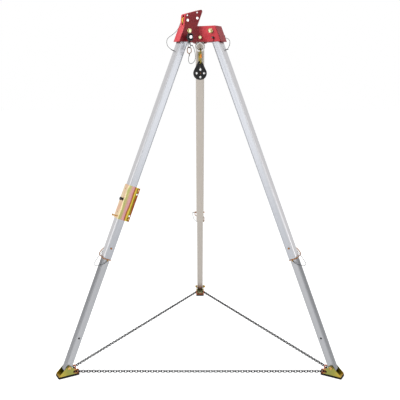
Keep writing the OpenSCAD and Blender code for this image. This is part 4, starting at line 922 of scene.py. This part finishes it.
# Floor, backdrop and light
def backdrop_rays(tree):
    """1 for the rays that see the plain white studio: the camera's, and what metal and glass show."""
    rays = add(tree, "ShaderNodeLightPath").outputs
    seen = worked(tree, "MAXIMUM", rays["Is Camera Ray"], rays["Is Glossy Ray"])
    return worked(tree, "MAXIMUM", seen, rays["Is Transmission Ray"])


floor_mesh = bpy.data.meshes.new("floor")
floor_mesh.from_pydata([(-30, -30, 0), (30, -30, 0), (30, 30, 0), (-30, 30, 0)], [], [(0, 1, 2, 3)])
floor = bpy.data.objects.new("floor", floor_mesh)
scene.collection.objects.link(floor)
paper = bpy.data.materials.new("white_studio_paper")
paper.use_nodes = True
tree = paper.node_tree
matt = tree.nodes["Principled BSDF"]
matt.inputs["Base Color"].default_value = linear("#B4B4B4")
matt.inputs["Roughness"].default_value = 0.9
# The camera and mirrors see the floor lifted to white, so that it meets the backdrop without a line
lift = add(tree, "ShaderNodeEmission", {"Color": linear("#EEEEEE"), "Strength": backdrop_rays(tree)})
both = add(tree, "ShaderNodeAddShader", {0: matt.outputs["BSDF"], 1: lift.outputs["Emission"]})
tree.links.new(both.outputs["Shader"], tree.nodes["Material Output"].inputs["Surface"])
floor_mesh.materials.append(paper)

world = bpy.data.worlds.new("studio")
scene.world = world
world.use_nodes = True
tree = world.node_tree
room = add(tree, "ShaderNodeBackground", {"Color": (0.90, 0.92, 0.95, 1), "Strength": 0.25})
white = add(tree, "ShaderNodeBackground", {"Color": (1, 1, 1, 1), "Strength": 1.0})
choice = {0: backdrop_rays(tree), 1: room.outputs["Background"], 2: white.outputs["Background"]}
mixed = add(tree, "ShaderNodeMixShader", choice)
tree.links.new(mixed.outputs["Shader"], tree.nodes["World Output"].inputs["Surface"])


def soft_light(name, place, wide, high, watts, aim, mirrored):
    """A softbox. A mirrored one shows in metal and gloss only, any other one lights without showing."""
    lamp = bpy.data.lights.new(name, "AREA")
    lamp.shape = "RECTANGLE"
    lamp.size = wide
    lamp.size_y = high
    lamp.energy = watts
    light = bpy.data.objects.new(name, lamp)
    light.location = place
    light.visible_glossy = mirrored
    light.visible_diffuse = not mirrored
    light.rotation_euler = (Vector(place) - Vector(aim)).to_track_quat("Z", "Y").to_euler()
    scene.collection.objects.link(light)


middle, top = (0, FRAME_Y * MM, 1.6), (0, FRAME_Y * MM, 2.0)
soft_light("key_from_high_left", (-4.4, -2.3, 4.2), 2.4, 2.4, 380, middle, mirrored=False)
soft_light("fill_from_the_right", (4.4, 0.6, 2.8), 2.4, 2.4, 44, middle, mirrored=False)
soft_light("top", (0.8, 0.2, 5.4), 3.0, 3.0, 40, middle, mirrored=False)
soft_light("sheen_from_the_left", (-3.4, -3.0, 2.0), 2.0, 3.2, 29, top, mirrored=True)
soft_light("sheen_from_the_right", (3.4, -3.0, 2.0), 2.0, 3.2, 29, top, mirrored=True)
soft_light("line_on_the_corners", (0, -6.2, 2.9), 1.6, 3.0, 24, middle, mirrored=True)
